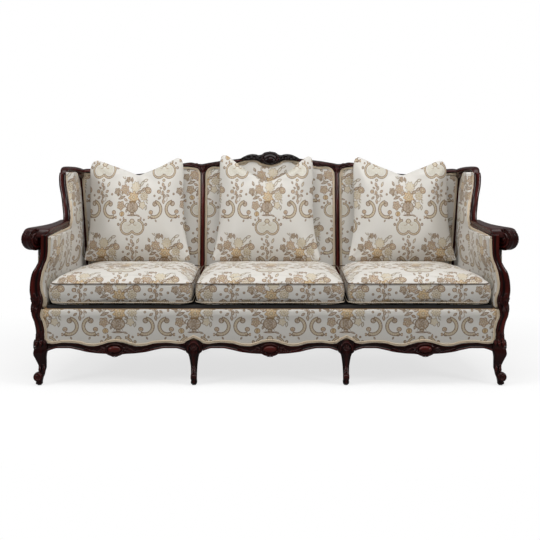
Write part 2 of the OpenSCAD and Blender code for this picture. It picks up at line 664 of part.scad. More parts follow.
module gimp_line() placed() rotate([90, 0, 0]) linear_extrude(gimp_t) difference() {
    polygon(band_edge);
    offset(delta = -gimp_w) polygon(band_edge);
    translate([-leg_in_x - leg_w, seat_rail_z - gimp_w - overrun])
        square([2 * (leg_in_x + leg_w), gimp_w + 2 * overrun]);
}

// Padding inside the arms and wings, and covers outside them

// Level slice of a panel from its front pair and back pair of corners
function slice(z, xf_in, xf_out, tf, xb_in, xb_out, tb) =
    [[xf_in, tf, z], [xf_out, tf, z], [xb_out, tb, z], [xb_in, tb, z]];

arm_pad_front_t = 0.3 * leg_d;
arm_pad_top_z = arm_top_z - arm_rail_t * 1.1;
// Heights of the inside arm's slices, where the arm post's own sections lie
arm_pad_heights = concat([seat_rail_z],
    [for (r = post_shares) if (post_z(r[0]) > seat_rail_z && post_z(r[0]) < arm_pad_top_z)
        post_z(r[0])],
    [arm_pad_top_z]);

// Inner face of the inside arm where it meets the wing, at height z
function arm_pad_back_x(z) = rail_x(arm_back_t) - rail_t / 2 - arm_pad_t * 0.4
    - arm_pad_t * (z - seat_rail_z) / (wing_top_z - seat_rail_z);

function arm_pad_in_x(z, t) = mix(post_inner_x(z) - arm_pad_t, arm_pad_back_x(z),
    (t - arm_pad_front_t) / (arm_back_t - arm_pad_front_t));

module inside_arm(side) color(brocade) on_side(side) skin([for (z = arm_pad_heights)
    slice(z, arm_pad_in_x(z, arm_pad_front_t), post_inner_x(z), arm_pad_front_t,
        arm_pad_in_x(z, arm_back_t), arm_pad_in_x(z, arm_back_t) + arm_pad_t, arm_back_t)]);

// Heights of the inside wing's slices, where the wing post's own sections lie
wing_pad_heights = [for (i = [0 : len(wing_post_shares) - 2])
    seat_rail_z + wing_post_shares[i][0] * wing_post_h];

function wing_pad_slice(z) = let (tf = wing_front_t(z) + soft_gap, tb = wing_back_t(z),
    te = back_t(z) - stile_proud / cos(recline), xo = wing_inner_x(z) - soft_gap,
    xi = min(arm_pad_back_x(z), wing_inner_x(z) - cover_t), xe = stile_outer_x(z) + stile_w / 2)
    [[xi, tf, z], [xo, tf, z], [xo, tb, z], [xe, te, z], [xe - arm_pad_t, te, z],
        [mix(xi, xe - arm_pad_t, (tb - tf) / (te - tf)), tb, z]];

module inside_wing(side) color(brocade) on_side(side)
    skin([for (z = wing_pad_heights) wing_pad_slice(z)]);

outside_arm_top_z = arm_top_z - arm_rail_t;
outer_height_shares = [0.25, 0.5, 0.75, 1];
outside_arm_heights = concat([leg_top_z, seat_rail_z],
    [for (h = outer_height_shares) mix(seat_rail_z, outside_arm_top_z, h)]);

// Depth of the back's rear plane at height z, upright below the seat rails
function cover_end_t(z) = back_t(max(z, seat_rail_z)) + frame_back / cos(recline);
// Outer face of an outer stile where it meets the back's rear plane at height z
function stile_edge_x(z) = stile_outer_x(max(z, seat_rail_z) + frame_back * sin(recline))
    + stile_w / 2;

function cover_x(z, t) = rail_x(t) + rail_t / 2
    + max(0, z - seat_rail_z) / (outside_arm_top_z - seat_rail_z) * cover_t
        * max(0, 1 - t / seat_d) * 2;

module outside_arm(side) color(brocade) on_side(side) difference() {
    skin([for (z = outside_arm_heights)
        let (tf = max(leg_d, post_back_t(z)) + soft_gap, te = cover_end_t(z),
            xe = max(cover_x(z, te), stile_edge_x(z)))
        slice(z, cover_x(z, tf), cover_x(z, tf) + cover_t, tf, xe, xe + cover_t, te)]);
    knuckle();
}

outside_wing_height_shares = [0, 0.2, 0.4, 0.6, 0.8, 1];

module outside_wing(side) color(brocade) on_side(side)
    skin([for (h = outside_wing_height_shares)
        let (z = mix(outside_arm_top_z + soft_gap, wing_top_z - wing_rail_t * 0.65, h),
            xe = stile_edge_x(z) + soft_gap)
        slice(z, wing_outer_x(z) - cover_t, wing_outer_x(z), wing_back_t(z) + soft_gap,
            xe, xe + cover_t, cover_end_t(z))]);

module gimp_front() color(gimp_colour) gimp_line();

// Springs, deck and dust cover

seat_bays = [[-rail_in_x(seat_d), -stile_x - stretcher_w / 2],
    [-stile_x + stretcher_w / 2, stile_x - stretcher_w / 2],
    [stile_x + stretcher_w / 2, rail_in_x(seat_d)]];
spring_xs = [for (b = seat_bays, i = [1 : springs_per_seat])
    mix(b[0], b[1], i / (springs_per_seat + 1))];
spring_t0 = front_rail_back_t + clip_l;
spring_t1 = seat_d - clip_l;
spring_pitch = (spring_t1 - spring_t0) / spring_bends;
// Length of a spring's straight bends, as a share of the pitch
spring_bend_share = 0.3;

spring_path = concat([[0, spring_t0], [0, spring_t0 + spring_pitch / 4]],
    [for (i = [1 : spring_bends - 1], e = [-0.5, 0.5])
        [(i % 2 == 0 ? -1 : 1) * (spring_w - spring_wire) / 2,
            spring_t0 + spring_pitch * (i + e * spring_bend_share)]],
    [[0, spring_t1 - spring_pitch / 4], [0, spring_t1]]);

function unit(v) = v / norm(v);
// Points beside a path, to its left by h, mitred at its bends
function beside(path, h) = [for (i = [0 : len(path) - 1])
    let (d0 = unit(path[max(i, 1)] - path[max(i, 1) - 1]),
        d1 = i < len(path) - 1 ? unit(path[i + 1] - path[i]) : d0,
        n0 = [-d0[1], d0[0]], m = unit(n0 + [-d1[1], d1[0]]))
    path[i] + m * h / (m * n0)];

module seat_springs() color(steel) placed() for (x = spring_xs)
    translate([x, 0, seat_rail_z - spring_wire]) linear_extrude(spring_wire)
        polygon(concat(beside(spring_path, spring_wire / 2),
            reversed(beside(spring_path, -spring_wire / 2))));

module spring_clips() color(steel) placed() for (x = spring_xs,
    t = [front_rail_back_t, seat_d - clip_l])
    translate([x - clip_w / 2, t, seat_rail_z - clip_h]) cube([clip_w, clip_l, clip_h]);

// Inner edge of the arm and wing padding above the deck, at depth t
function deck_half(t) = t <= arm_back_t ? arm_pad_in_x(seat_top_z, t) - cushion_gap
    : mix(arm_pad_back_x(seat_rail_z), stile_foot_x + stile_w / 2 - arm_pad_t,
        (t - arm_back_t) / (seat_d - arm_back_t)) - cushion_gap;
deck_depth_list = [band_t, arm_pad_front_t, arm_back_t, seat_d];
deck_right = [for (t = deck_depth_list) [deck_half(max(t, arm_pad_front_t)), t]];

module seat_deck() color(black_cloth) placed() translate([0, 0, seat_rail_z])
    linear_extrude(deck_t) polygon(concat(deck_right, flipped(deck_right)));

module dust_cover() color(black_cloth) placed() translate([0, 0, leg_top_z - web_t])
    linear_extrude(web_t) polygon([[-rail_x(leg_d), leg_d + soft_gap],
        [rail_x(leg_d), leg_d + soft_gap], [rail_x(seat_d), seat_d - soft_gap],
        [-rail_x(seat_d), seat_d - soft_gap]]);

// Cushions

// Points around a unit square with rounded corners, corner by corner
corner_share = 0.09;
corner_points = 5;
side_points = 5;

function unit_corner(k) = let (sx = [1, -1, -1, 1][k], sy = [1, 1, -1, -1][k])
    [for (i = [0 : corner_points - 1]) let (a = 90 * k + 90 * i / (corner_points - 1))
        [sx * (1 - corner_share) + corner_share * cos(a),
            sy * (1 - corner_share) + corner_share * sin(a)]];
function unit_side(k) = let (a = unit_corner(k)[corner_points - 1],
    b = unit_corner((k + 1) % 4)[0])
    [for (i = [1 : side_points]) mix(a, b, i / (side_points + 1))];
unit_loop = [for (k = [0 : 3]) each concat(unit_corner(k), unit_side(k))];

// Rows of plan size, height in the box and height in the crown of a cushion
cushion_shares = [[0.55, 0, 0], [0.965, 0, 0], [0.99, 0.02, 0], [1, 0.06, 0], [0.985, 0.14, 0],
    [0.972, 0.5, 0], [0.985, 0.86, 0], [1, 0.94, 0], [0.99, 1, 0], [0.95, 1, 0.18],
    [0.86, 1, 0.5], [0.72, 1, 0.8], [0.5, 1, 0.96], [0.25, 1, 1]];

cushion_z = seat_top_z + soft_gap;
cushion_front_t = soft_gap;
cushion_back_t = seat_d - 2 * cushion_side_gap;

// Right edge of a cushion at depth t
function cushion_edge(t) = min(deck_half(max(t, arm_pad_front_t)),
    leg_in_x - arm_pad_t / 4) - soft_gap;

// A cushion between the edges x0 and x1 at the front, and x2 and x3 at the back
module cushion(x0, x1, x2, x3) skin([for (r = cushion_shares) [for (p = unit_loop)
    let (u = (1 + p[0] * r[0]) / 2, v = (1 + p[1] * r[0]) / 2)
    [mix(mix(x0, x1, u), mix(x2, x3, u), v), mix(cushion_front_t, cushion_back_t, v),
        cushion_z + cushion_box_h * r[1] + cushion_crown * r[2]]]]);

cushion_in = stile_x - cushion_gap / 2;
cushion_out = stile_x + cushion_gap / 2;

module seat_cushion_centre() color(brocade) placed()
    cushion(-cushion_in, cushion_in, -cushion_in, cushion_in);

module seat_cushion_side(side) color(brocade) on_side(side)
    cushion(cushion_out, cushion_edge(0), cushion_out, cushion_edge(cushion_back_t));

// Throw pillows

pillow_pinch_share = 0.05;
pillow_top_share = 0.91;
pillow_loop_shares = [0.2, 0.45, 0.68, 0.86, 0.95, 1, 0.95, 0.86, 0.68, 0.45, 0.2];
pillow_edge_points = 12;
pillow_power = 2.2;
pillow_crease_share = 0.35;

// Points around a unit square from its lower left corner
pillow_square = [for (k = [0 : 3], i = [0 : pillow_edge_points - 1])
    let (w = 2 * i / pillow_edge_points - 1) [[w, -1], [1, w], [-w, 1], [-1, -w]][k]];

// Outline point of a pillow for a point on the unit square, narrower towards its top
function pillow_outline(p, notch) = [
    p[0] * pillow_side / 2 * mix(1, pillow_top_share, (1 + p[1]) / 2)
        * (1 - pillow_pinch_share * (1 - p[1] * p[1])),
    p[1] * pillow_side / 2 - (p[1] > 0 ? notch * pow(1 - abs(p[0]), 1.3) * pow(p[1], 3) : 0)];

function pillow_half_t(s, p, notch) = pillow_t / 2 * (1 - pow(s, pillow_power))
    * (1 - (p[1] > 0 ? pillow_crease_share * p[1] * pow(1 - abs(p[0]), 2) : 0));

// Tip of a pillow's rear bulge: how far it stands over and behind the pillow's base
pillow_flat_share = pillow_loop_shares[0];
pillow_tip_up = (1 + pillow_flat_share) * pillow_side / 2 * cos(pillow_lean)
    - pillow_t / 2 * sin(pillow_lean);
pillow_tip_back = (1 + pillow_flat_share) * pillow_side / 2 * sin(pillow_lean)
    + pillow_t / 2 * cos(pillow_lean);

// Share of the crown at a share of the plan size, and at a depth on the middle line
crown_shares = [for (i = [len(cushion_shares) - 1 : -1 : 0]) if (cushion_shares[i][1] == 1)
    [cushion_shares[i][0], cushion_shares[i][2]]];
function crown_z(t) = cushion_z + cushion_box_h + cushion_crown
    * at(crown_shares, abs(2 * (t - cushion_front_t) / (cushion_back_t - cushion_front_t) - 1), 1);

// Height of the lowest point of a pillow's notch over its base
pillow_notch_up = (pillow_side - centre_notch_d) * cos(pillow_lean);
crest_low_z = seat_rail_z + crest_low_share * back_rise;

// A pillow's base stands on its cushion's crown where its back touches the sofa's back, or the
// crest where the pillow is tall enough to reach it
function pillow_depth(z) = back_t(z + pillow_tip_up) - soft_gap / cos(recline) - pillow_tip_back
    - (z + pillow_notch_up > crest_low_z ? (stile_proud + crest_t) / cos(recline) : 0);
pillow_base_t = pillow_depth(crown_z(pillow_depth(cushion_z + cushion_box_h)));
pillow_z = crown_z(pillow_base_t) + soft_gap;

module pillow(x, notch) color(brocade) placed() translate([x, pillow_base_t, pillow_z])
    rotate([-pillow_lean, 0, 0]) translate([0, 0, pillow_side / 2])
        skin([for (k = [0 : len(pillow_loop_shares) - 1])
            let (s = pillow_loop_shares[k], face = k < len(pillow_loop_shares) / 2 ? -1 : 1)
            [for (p = pillow_square) let (o = pillow_outline(p, notch))
                [o[0] * s, face * pillow_half_t(s, p * s, notch), o[1] * s]]]);

side_pillow_x = (stile_out + outer_stile_in) / 2;

module throw_pillow_side(side) pillow(side * side_pillow_x, notch_d);

module throw_pillow_centre() pillow(-stile_w, centre_notch_d);

front_leg(left);  // front_leg_left
front_leg(right);  // front_leg_right
centre_leg(left);  // centre_leg_left
centre_leg(right);  // centre_leg_right
rear_leg(left);  // rear_leg_left
rear_leg(right);  // rear_leg_right
rear_centre_legs();
leg_glides();
arm_post(left);  // arm_post_left
arm_post(right);  // arm_post_right
arm_rail(left);  // arm_rail_left
arm_rail(right);  // arm_rail_right
wing_post(left);  // wing_post_left
wing_post(right);  // wing_post_right
wing_rail(left);  // wing_rail_left
wing_rail(right);  // wing_rail_right
back_stile_outer(left);  // back_stile_outer_left
back_stile_outer(right);  // back_stile_outer_right
back_stile_inner(left);  // back_stile_inner_left
back_stile_inner(right);  // back_stile_inner_right
top_rail();
crest_carving();
back_base_rail();
back_webbing();
front_rail();
back_rail();
side_rail(left);  // side_rail_left
side_rail(right);  // side_rail_right
seat_stretchers();
corner_blocks();
frame_screws();
apron_side(left);  // apron_left
apron_centre();
apron_side(right);  // apron_right
apron_cartouches();
seat_springs();
spring_clips();
seat_deck();
dust_cover();
front_band();
inside_back_side(left);  // inside_back_left
inside_back_centre();
inside_back_side(right);  // inside_back_right
inside_arm(left);  // inside_arm_left
inside_arm(right);  // inside_arm_right
inside_wing(left);  // inside_wing_left
inside_wing(right);  // inside_wing_right
outside_arm(left);  // outside_arm_left
outside_arm(right);  // outside_arm_right
outside_wing(left);  // outside_wing_left
outside_wing(right);  // outside_wing_right
outside_back();
gimp_back();
gimp_front();
seat_cushion_side(left);  // seat_cushion_left
seat_cushion_centre();
seat_cushion_side(right);  // seat_cushion_right
throw_pillow_side(left);  // throw_pillow_left
throw_pillow_centre();
throw_pillow_side(right);  // throw_pillow_right
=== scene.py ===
"""A carved wing sofa: show-wood, upholstery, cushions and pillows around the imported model."""

import math

import bmesh
import bpy
import numpy as np
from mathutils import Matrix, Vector
from mathutils.bvhtree import BVHTree


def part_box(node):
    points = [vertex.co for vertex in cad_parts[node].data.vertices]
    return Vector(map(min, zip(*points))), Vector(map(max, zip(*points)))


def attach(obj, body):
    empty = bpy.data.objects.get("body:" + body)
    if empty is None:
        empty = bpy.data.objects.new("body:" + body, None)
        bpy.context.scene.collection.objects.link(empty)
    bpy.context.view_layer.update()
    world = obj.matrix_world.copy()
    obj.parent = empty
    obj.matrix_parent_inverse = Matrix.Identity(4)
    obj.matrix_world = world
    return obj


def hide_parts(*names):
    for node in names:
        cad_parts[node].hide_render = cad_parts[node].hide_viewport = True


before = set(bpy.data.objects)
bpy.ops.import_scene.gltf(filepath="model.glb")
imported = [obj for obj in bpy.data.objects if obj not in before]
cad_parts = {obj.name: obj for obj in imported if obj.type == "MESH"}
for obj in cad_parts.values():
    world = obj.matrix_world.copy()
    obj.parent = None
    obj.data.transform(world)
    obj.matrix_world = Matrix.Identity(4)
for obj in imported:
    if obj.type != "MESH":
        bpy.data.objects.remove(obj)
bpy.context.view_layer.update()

# Sizes of the sofa in millimetres, as its source has them. Shapes are drawn with x to the right,
# t the depth behind the front of the seat, and z up.
MM = 0.001
SOFA_W = 2160.0
SOFA_H = 989.0
SEAT_RAIL_Z = 333.0
SEAT_D = 595.0
RECLINE = math.radians(11)
LEG_TOP_Z = 196.0
LEG_W = 60.0
LEG_D = 54.0
CENTRE_LEG_HALF_W = 38.0
STILE_X = 330.0
STILE_W = 22.0
STILE_FLARE = 49.0
RAIL_T = 30.0
APRON_H = 72.0
BAND_T = 12.0
APRON_T = 36.0
SIDE_TAPER = 73.0
KNUCKLE_REACH = 118.0
ARM_TOP_Z = 679.0
ARM_RAIL_T = 34.0
ARM_BACK_T = 345.0
KNUCKLE_R = 48.0
KNUCKLE_L = 62.0
KNUCKLE_TURN = math.radians(35)
WING_W = 36.0
WING_RAKE = 80.0
WING_TOP_Z = 900.0
WING_RAIL_T = 26.0
PAD_T = 16.0
COVER_T = 6.0
BACK_FRAME_T = 48.0
STILE_PROUD = 8.0
BACK_PAD_T = 30.0
BASE_RAIL_H = 40.0
CREST_HALF_W = 150.0
GIMP_W = 11.0
CUSHION_BOX_H = 87.0
CUSHION_CROWN = 44.0
CUSHION_GAP = 4.0
PILLOW_SIDE = 505.0
PILLOW_T = 150.0
PILLOW_LEAN = math.radians(16)

LEG_IN_X = SOFA_W / 2 - KNUCKLE_REACH
SIDE_X = LEG_IN_X + RAIL_T - 0.6
BACK_RISE = SOFA_H - SEAT_RAIL_Z
STILE_TOP = 0.84
STILE_FOOT_X = LEG_IN_X - 72.0
BACK_HALF = STILE_FOOT_X + STILE_FLARE + STILE_W / 2
STILE_IN = STILE_X - STILE_W / 2
STILE_OUT = STILE_X + STILE_W / 2
OUTER_STILE_IN = BACK_HALF - STILE_W
FRAME_BACK = BACK_FRAME_T - STILE_PROUD
BASE_TOP = BASE_RAIL_H / math.cos(RECLINE)
DECK_TOP = SEAT_RAIL_Z + 14.0
WING_X = LEG_IN_X - WING_W / 3
FRONT_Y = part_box("front_rail")[0].y / MM - BAND_T

LEFT = -1
RIGHT = 1
SIDES = {"left": LEFT, "right": RIGHT}


# Numbers and lines

def mix(a, b, w):
    """The value a share w of the way from a to b."""
    return a + (b - a) * w


def soft_step(v, low, high):
    """0 below low and 1 above high, with a smooth rise between."""
    w = np.clip((np.asarray(v, float) - low) / (high - low), 0, 1)
    return w * w * (3 - 2 * w)


def bead(v, middle, half_width):
    """A round ridge, 1 at its middle."""
    return np.exp(-((np.asarray(v, float) - middle) / half_width) ** 2)


def run_through(rows, stations):
    """Smooth rows at the stations, through rows whose first column is the way along."""
    rows = np.asarray(rows, float)
    stations = np.asarray(stations, float)
    along = rows[:, 0]
    gaps = np.diff(along)
    index = np.clip(np.searchsorted(along, stations, side="right") - 1, 0, len(along) - 2)
    w = np.clip((stations - along[index]) / gaps[index], 0, 1)
    columns = [stations]
    for values in rows[:, 1:].T:
        rise = np.diff(values) / gaps
        slopes = np.zeros(len(values))
        slopes[0], slopes[-1] = rise[0], rise[-1]
        for i in range(1, len(values) - 1):
            if rise[i - 1] * rise[i] > 0:
                slopes[i] = 2 * rise[i - 1] * rise[i] / (rise[i - 1] + rise[i])
        start, end = values[index], values[index + 1]
        leave, reach = slopes[index] * gaps[index], slopes[index + 1] * gaps[index]
        columns.append((2 * w**3 - 3 * w**2 + 1) * start + (w**3 - 2 * w**2 + w) * leave
                       + (3 * w**2 - 2 * w**3) * end + (w**3 - w**2) * reach)
    return np.stack(columns, axis=1)


def spline(points, count):
    """An even run of points on a smooth open line through the given ones."""
    points = np.asarray(points, float)
    reach = np.concatenate([[0], np.cumsum(np.linalg.norm(np.diff(points, axis=0), axis=1))])
    padded = np.vstack([2 * points[0] - points[1], points, 2 * points[-1] - points[-2]])
    found = []
    for s in np.linspace(0, reach[-1], count):
        i = min(int(np.searchsorted(reach, s, side="right")) - 1, len(points) - 2)
        w = (s - reach[i]) / max(reach[i + 1] - reach[i], 1e-9)
        a, b, c, d = padded[i:i + 4]
        found.append(0.5 * (2 * b + (c - a) * w + (2 * a - 5 * b + 4 * c - d) * w**2
                            + (3 * b - a - 3 * c + d) * w**3))
    return np.array(found)


def resampled(points, count, closed=False):
    """Evenly spaced points along straight lines through the given ones."""
    points = np.asarray(points, float)
    if closed:
        points = np.vstack([points, points[:1]])
    reach = np.concatenate([[0], np.cumsum(np.linalg.norm(np.diff(points, axis=0), axis=1))])
    at = np.linspace(0, reach[-1], count, endpoint=not closed)
    return np.stack([np.interp(at, reach, c) for c in points.T], axis=1)


def round_angles(count):
    return np.linspace(0, 2 * np.pi, count, endpoint=False)


def unit_section(sides, power):
    """Even points round a square with rounded corners, from -1 to 1 both ways."""
    a = round_angles(1440)
    shape = np.stack([np.sign(np.cos(a)) * np.abs(np.cos(a)) ** (2 / power),
                      np.sign(np.sin(a)) * np.abs(np.sin(a)) ** (2 / power)], axis=1)
    return resampled(shape, sides, closed=True)


def on_back(x, y, s):
    """A point of the reclined back: x across, y into the back, s up its slope."""
    x, y, s = np.broadcast_arrays(np.asarray(x, float), y, s)
    return np.stack([x, SEAT_D + y * math.cos(RECLINE) + s * math.sin(RECLINE),
                     SEAT_RAIL_Z + s * math.cos(RECLINE) - y * math.sin(RECLINE)], axis=-1)


# The way that the back's face looks
BACK_OUT = on_back(0, 0, 0) - on_back(0, 1, 0)


def slope(share):
    """Length up the back's slope at a share of the back's height."""
    return np.asarray(share, float) * BACK_RISE / math.cos(RECLINE)


def back_t(z):
    """Depth of the back's plane at height z."""
    return SEAT_D + (z - SEAT_RAIL_Z) * math.tan(RECLINE)


def rail_x(t):
    """Middle of the tapering side rail at depth t."""
    return SIDE_X - SIDE_TAPER * (t - LEG_D) / (SEAT_D - LEG_D)


def stile_outer_x(z):
    """Middle of the flaring outer stile at height z."""
    return STILE_FOOT_X + STILE_FLARE * (z - SEAT_RAIL_Z) / (BACK_RISE * STILE_TOP)


# Meshes

class Work:
    """Shapes in millimetres, gathered until they become one piece."""

    def __init__(self):
        self.points = []
        self.faces = []
        self.relief = []
        self.count = 0

    def add(self, points, faces, relief=0.5):
        points = np.asarray(points, float).reshape(-1, 3)
        relief = np.broadcast_to(np.asarray(relief, float).reshape(-1), (len(points),))
        self.points.append(points)
        self.relief.append(relief)
        self.faces += [tuple(v + self.count for v in f) for f in faces]
        self.count += len(points)

    def loft(self, loops, relief=0.5):
        """Closed loops that run in order, with both ends closed."""
        loops = np.asarray(loops, float)
        m, n = loops.shape[:2]
        faces = [(k * n + i, k * n + (i + 1) % n, (k + 1) * n + (i + 1) % n, (k + 1) * n + i)
                 for k in range(m - 1) for i in range(n)]
        first, last = m * n, m * n + 1
        faces += [(first, (i + 1) % n, i) for i in range(n)]
        faces += [(last, (m - 1) * n + i, (m - 1) * n + (i + 1) % n) for i in range(n)]
        ends = np.array([loops[0].mean(axis=0), loops[-1].mean(axis=0)])
        relief = np.broadcast_to(np.asarray(relief, float), (m, n)).reshape(-1)
        self.add(np.vstack([loops.reshape(-1, 3), ends]), faces,
                 np.concatenate([relief, [relief[0], relief[-1]]]))

    def pad(self, front, back):
        """A skin over a grid of front points and the same grid of back points."""
        m, n = front.shape[:2]

        def cell(base, k, i):
            return base + k * n + i

        faces = []
        for base, turned in ((0, False), (m * n, True)):
            for k in range(m - 1):
                for i in range(n - 1):
                    quad = (cell(base, k, i), cell(base, k, i + 1), cell(base, k + 1, i + 1),
                            cell(base, k + 1, i))
                    faces.append(quad[::-1] if turned else quad)
        rim = ([(0, i) for i in range(n)] + [(k, n - 1) for k in range(1, m)]
               + [(m - 1, i) for i in range(n - 2, -1, -1)] + [(k, 0) for k in range(m - 2, 0, -1)])
        for a, b in zip(rim, rim[1:] + rim[:1]):
            faces.append((cell(0, *b), cell(0, *a), cell(m * n, *a), cell(m * n, *b)))
        self.add(np.vstack([front.reshape(-1, 3), back.reshape(-1, 3)]), faces)

    def mirror(self):
        """The same work with left and right exchanged."""
        other = Work()
        other.points = [p * [-1, 1, 1] for p in self.points]
        other.faces = [f[::-1] for f in self.faces]
        other.relief = list(self.relief)
        other.count = self.count
        return other

    def on(self, side):
        """The work, drawn for the right, on the side named."""
        return self if side == RIGHT else self.mirror()


def in_metres(points):
    """Points of the sofa's own frame, in millimetres, as points of the scene."""
    return (np.asarray(points, float) + [0, FRONT_Y, 0]) * MM


def new_object(name, data):
    made = bpy.data.objects.new(name, data)
    bpy.context.scene.collection.objects.link(made)
    return made


def new_shape(name, points, edges, faces):
    """An object in metres from points in millimetres."""
    mesh = bpy.data.meshes.new(name)
    mesh.from_pydata(in_metres(points).tolist(), edges, faces)
    return new_object(name, mesh)


def outward(piece):
    """All faces of the piece's closed shells point outwards, and look smooth."""
    shape = bmesh.new()
    shape.from_mesh(piece.data)
    bmesh.ops.recalc_face_normals(shape, faces=shape.faces)
    for face in shape.faces:
        face.smooth = True
    shape.to_mesh(piece.data)
    shape.free()


def raw_piece(name, work):
    """An object from the shapes of a work, with its faces outwards."""
    piece = new_shape(name, np.vstack(work.points), [], work.faces)
    piece.data.update()
    outward(piece)
    return piece


def apply_modifiers(piece):
    """Leaves what the modifiers make as the piece's plain mesh."""
    bpy.context.view_layer.update()
    depsgraph = bpy.context.evaluated_depsgraph_get()
    shape = bpy.data.meshes.new_from_object(piece.evaluated_get(depsgraph), depsgraph=depsgraph)
    piece.modifiers.clear()
    piece.data = shape


def mesh_points(mesh):
    flat = np.zeros(len(mesh.vertices) * 3)
    mesh.vertices.foreach_get("co", flat)
    return flat.reshape(-1, 3)


def cloth_map(piece, layout):
    """Lays the brocade: layout turns points and normals in millimetres into cloth lengths."""
    mesh = piece.data
    count = len(mesh.loops)
    corners = np.zeros(count, int)
    mesh.loops.foreach_get("vertex_index", corners)
    places = mesh_points(mesh) / MM - [0, FRONT_Y, 0]
    normals = np.zeros(len(mesh.polygons) * 3)
    mesh.polygons.foreach_get("normal", normals)
    sizes = np.zeros(len(mesh.polygons), int)
    mesh.polygons.foreach_get("loop_total", sizes)
    facing = np.repeat(normals.reshape(-1, 3), sizes, axis=0)
    flat = layout(places[corners], facing) * MM
    chart = mesh.uv_layers.new(name="cloth")
    chart.data.foreach_set("uv", flat.astype(np.float32).ravel())


def finish_piece(piece, material, body, nodes=()):
    """Paints a piece, and says what it replaces and what it rides on."""
    piece.data.materials.clear()
    piece.data.materials.append(material)
    if nodes:
        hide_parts(*nodes)
    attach(piece, body)


def wood_piece(name, work, material, nodes):
    """A piece of show-wood, whose relief attribute says how high its carving stands, and from which
    its material paints shade in the low places and a highlight on the high ones.
    """
    piece = raw_piece(name, work)
    relief = piece.data.attributes.new("relief", "FLOAT", "POINT")
    relief.data.foreach_set("value", np.concatenate(work.relief).astype(np.float32))
    finish_piece(piece, material, "frame", nodes)


def cloth_piece(name, work, layout, nodes):
    """A tight panel of the upholstery."""
    piece = raw_piece(name, work)
    cloth_map(piece, layout)
    finish_piece(piece, brocade, "frame", nodes)


# Camera: eye level over the seat, tipped down a little, as the photograph was taken

CAMERA_TILT = math.radians(4.5)
CAMERA_AT = (0.0, -4.932, 1.157)
CAMERA_SENSOR = 36
CAMERA_LENS = 71.25
CAMERA_SHIFT_Y = -0.1266
CAMERA_SIGHT = 60
camera_data = bpy.data.cameras.new("camera")
camera_data.sensor_width = CAMERA_SENSOR
camera_data.lens = CAMERA_LENS
camera_data.shift_y = CAMERA_SHIFT_Y
camera_data.clip_end = CAMERA_SIGHT
camera = new_object("camera", camera_data)
camera.location = CAMERA_AT
camera.rotation_euler = (math.radians(90) - CAMERA_TILT, 0, 0)
bpy.context.scene.camera = camera
bpy.context.scene.view_settings.view_transform = "Standard"


# Materials

class Wire:
    """One output of a node. Arithmetic on it adds Math nodes."""

    def __init__(self, bench, socket):
        self.bench = bench
        self.socket = socket

    def maths(self, operation, *others):
        return self.bench.node("ShaderNodeMath", {"operation": operation},
                               {i: v for i, v in enumerate((self, *others))})

    def __add__(self, other):
        return self.maths("ADD", other)

    __radd__ = __add__

    def __mul__(self, other):
        return self.maths("MULTIPLY", other)

    __rmul__ = __mul__

    def __sub__(self, other):
        return self.maths("SUBTRACT", other)

    def __rsub__(self, other):
        return self.bench.node("ShaderNodeMath", {"operation": "SUBTRACT"}, {0: other, 1: self})

    def __truediv__(self, other):
        return self.maths("DIVIDE", other)

    def __mod__(self, other):
        return self.maths("FLOORED_MODULO", other)

    def __abs__(self):
        return self.maths("ABSOLUTE")


class Bench:
    """Builds one tree of nodes."""

    def __init__(self, tree):
        self.tree = tree
        tree.nodes.clear()

    def node(self, kind, settings=None, sockets=None, out=0):
        """Adds a node: its settings first, then the values or wires of its sockets."""
        made = self.tree.nodes.new(kind)
        for key, value in (settings or {}).items():
            setattr(made, key, value)
        for key, value in (sockets or {}).items():
            if isinstance(value, Wire):
                self.tree.links.new(value.socket, made.inputs[key])
            else:
                made.inputs[key].default_value = value
        return Wire(self, made.outputs[out]) if made.outputs else None

    def step(self, value, low, high):
        """0 at low and 1 at high, with a straight run between."""
        return self.node("ShaderNodeMapRange", None, {0: value, 1: low, 2: high})

    def blend(self, first, second, share):
        """Mixes two colours."""
        return self.node("ShaderNodeMix", {"data_type": "RGBA"}, {0: share, 6: first, 7: second},
                         out=2)

    def apart(self, vector, axis):
        """One of the three numbers of a vector."""
        return self.node("ShaderNodeSeparateXYZ", None, {0: vector}, out=axis)

    def stretched(self, vector, scale):
        return self.node("ShaderNodeMapping", {"vector_type": "POINT"},
                         {"Vector": vector, "Scale": scale})

    def noise(self, vector, scale, detail, roughness=0.55):
        return self.node("ShaderNodeTexNoise", None,
                         {"Vector": vector, "Scale": scale, "Detail": detail,
                          "Roughness": roughness})

    def place(self):
        """The point of the piece, in metres."""
        return self.node("ShaderNodeTexCoord", out=3)

    def attribute(self, name):
        return self.node("ShaderNodeAttribute", {"attribute_name": name}, out=2)

    def bump(self, height, distance, strength):
        return self.node("ShaderNodeBump", None,
                         {"Strength": strength, "Distance": distance, "Height": height})


def surface(name, build):
    """A material whose build function returns the sockets of its Principled shader."""
    material = bpy.data.materials.new(name)
    material.use_nodes = True
    bench = Bench(material.node_tree)
    shader = bench.node("ShaderNodeBsdfPrincipled", None, build(bench))
    bench.node("ShaderNodeOutputMaterial", None, {0: shader})
    return material


def colour(red, green, blue):
    """A colour written as it looks, from 0 to 255."""
    return (*[((c / 255 + 0.055) / 1.055) ** 2.4 if c > 10.3 else c / 255 / 12.92
              for c in (red, green, blue)], 1.0)


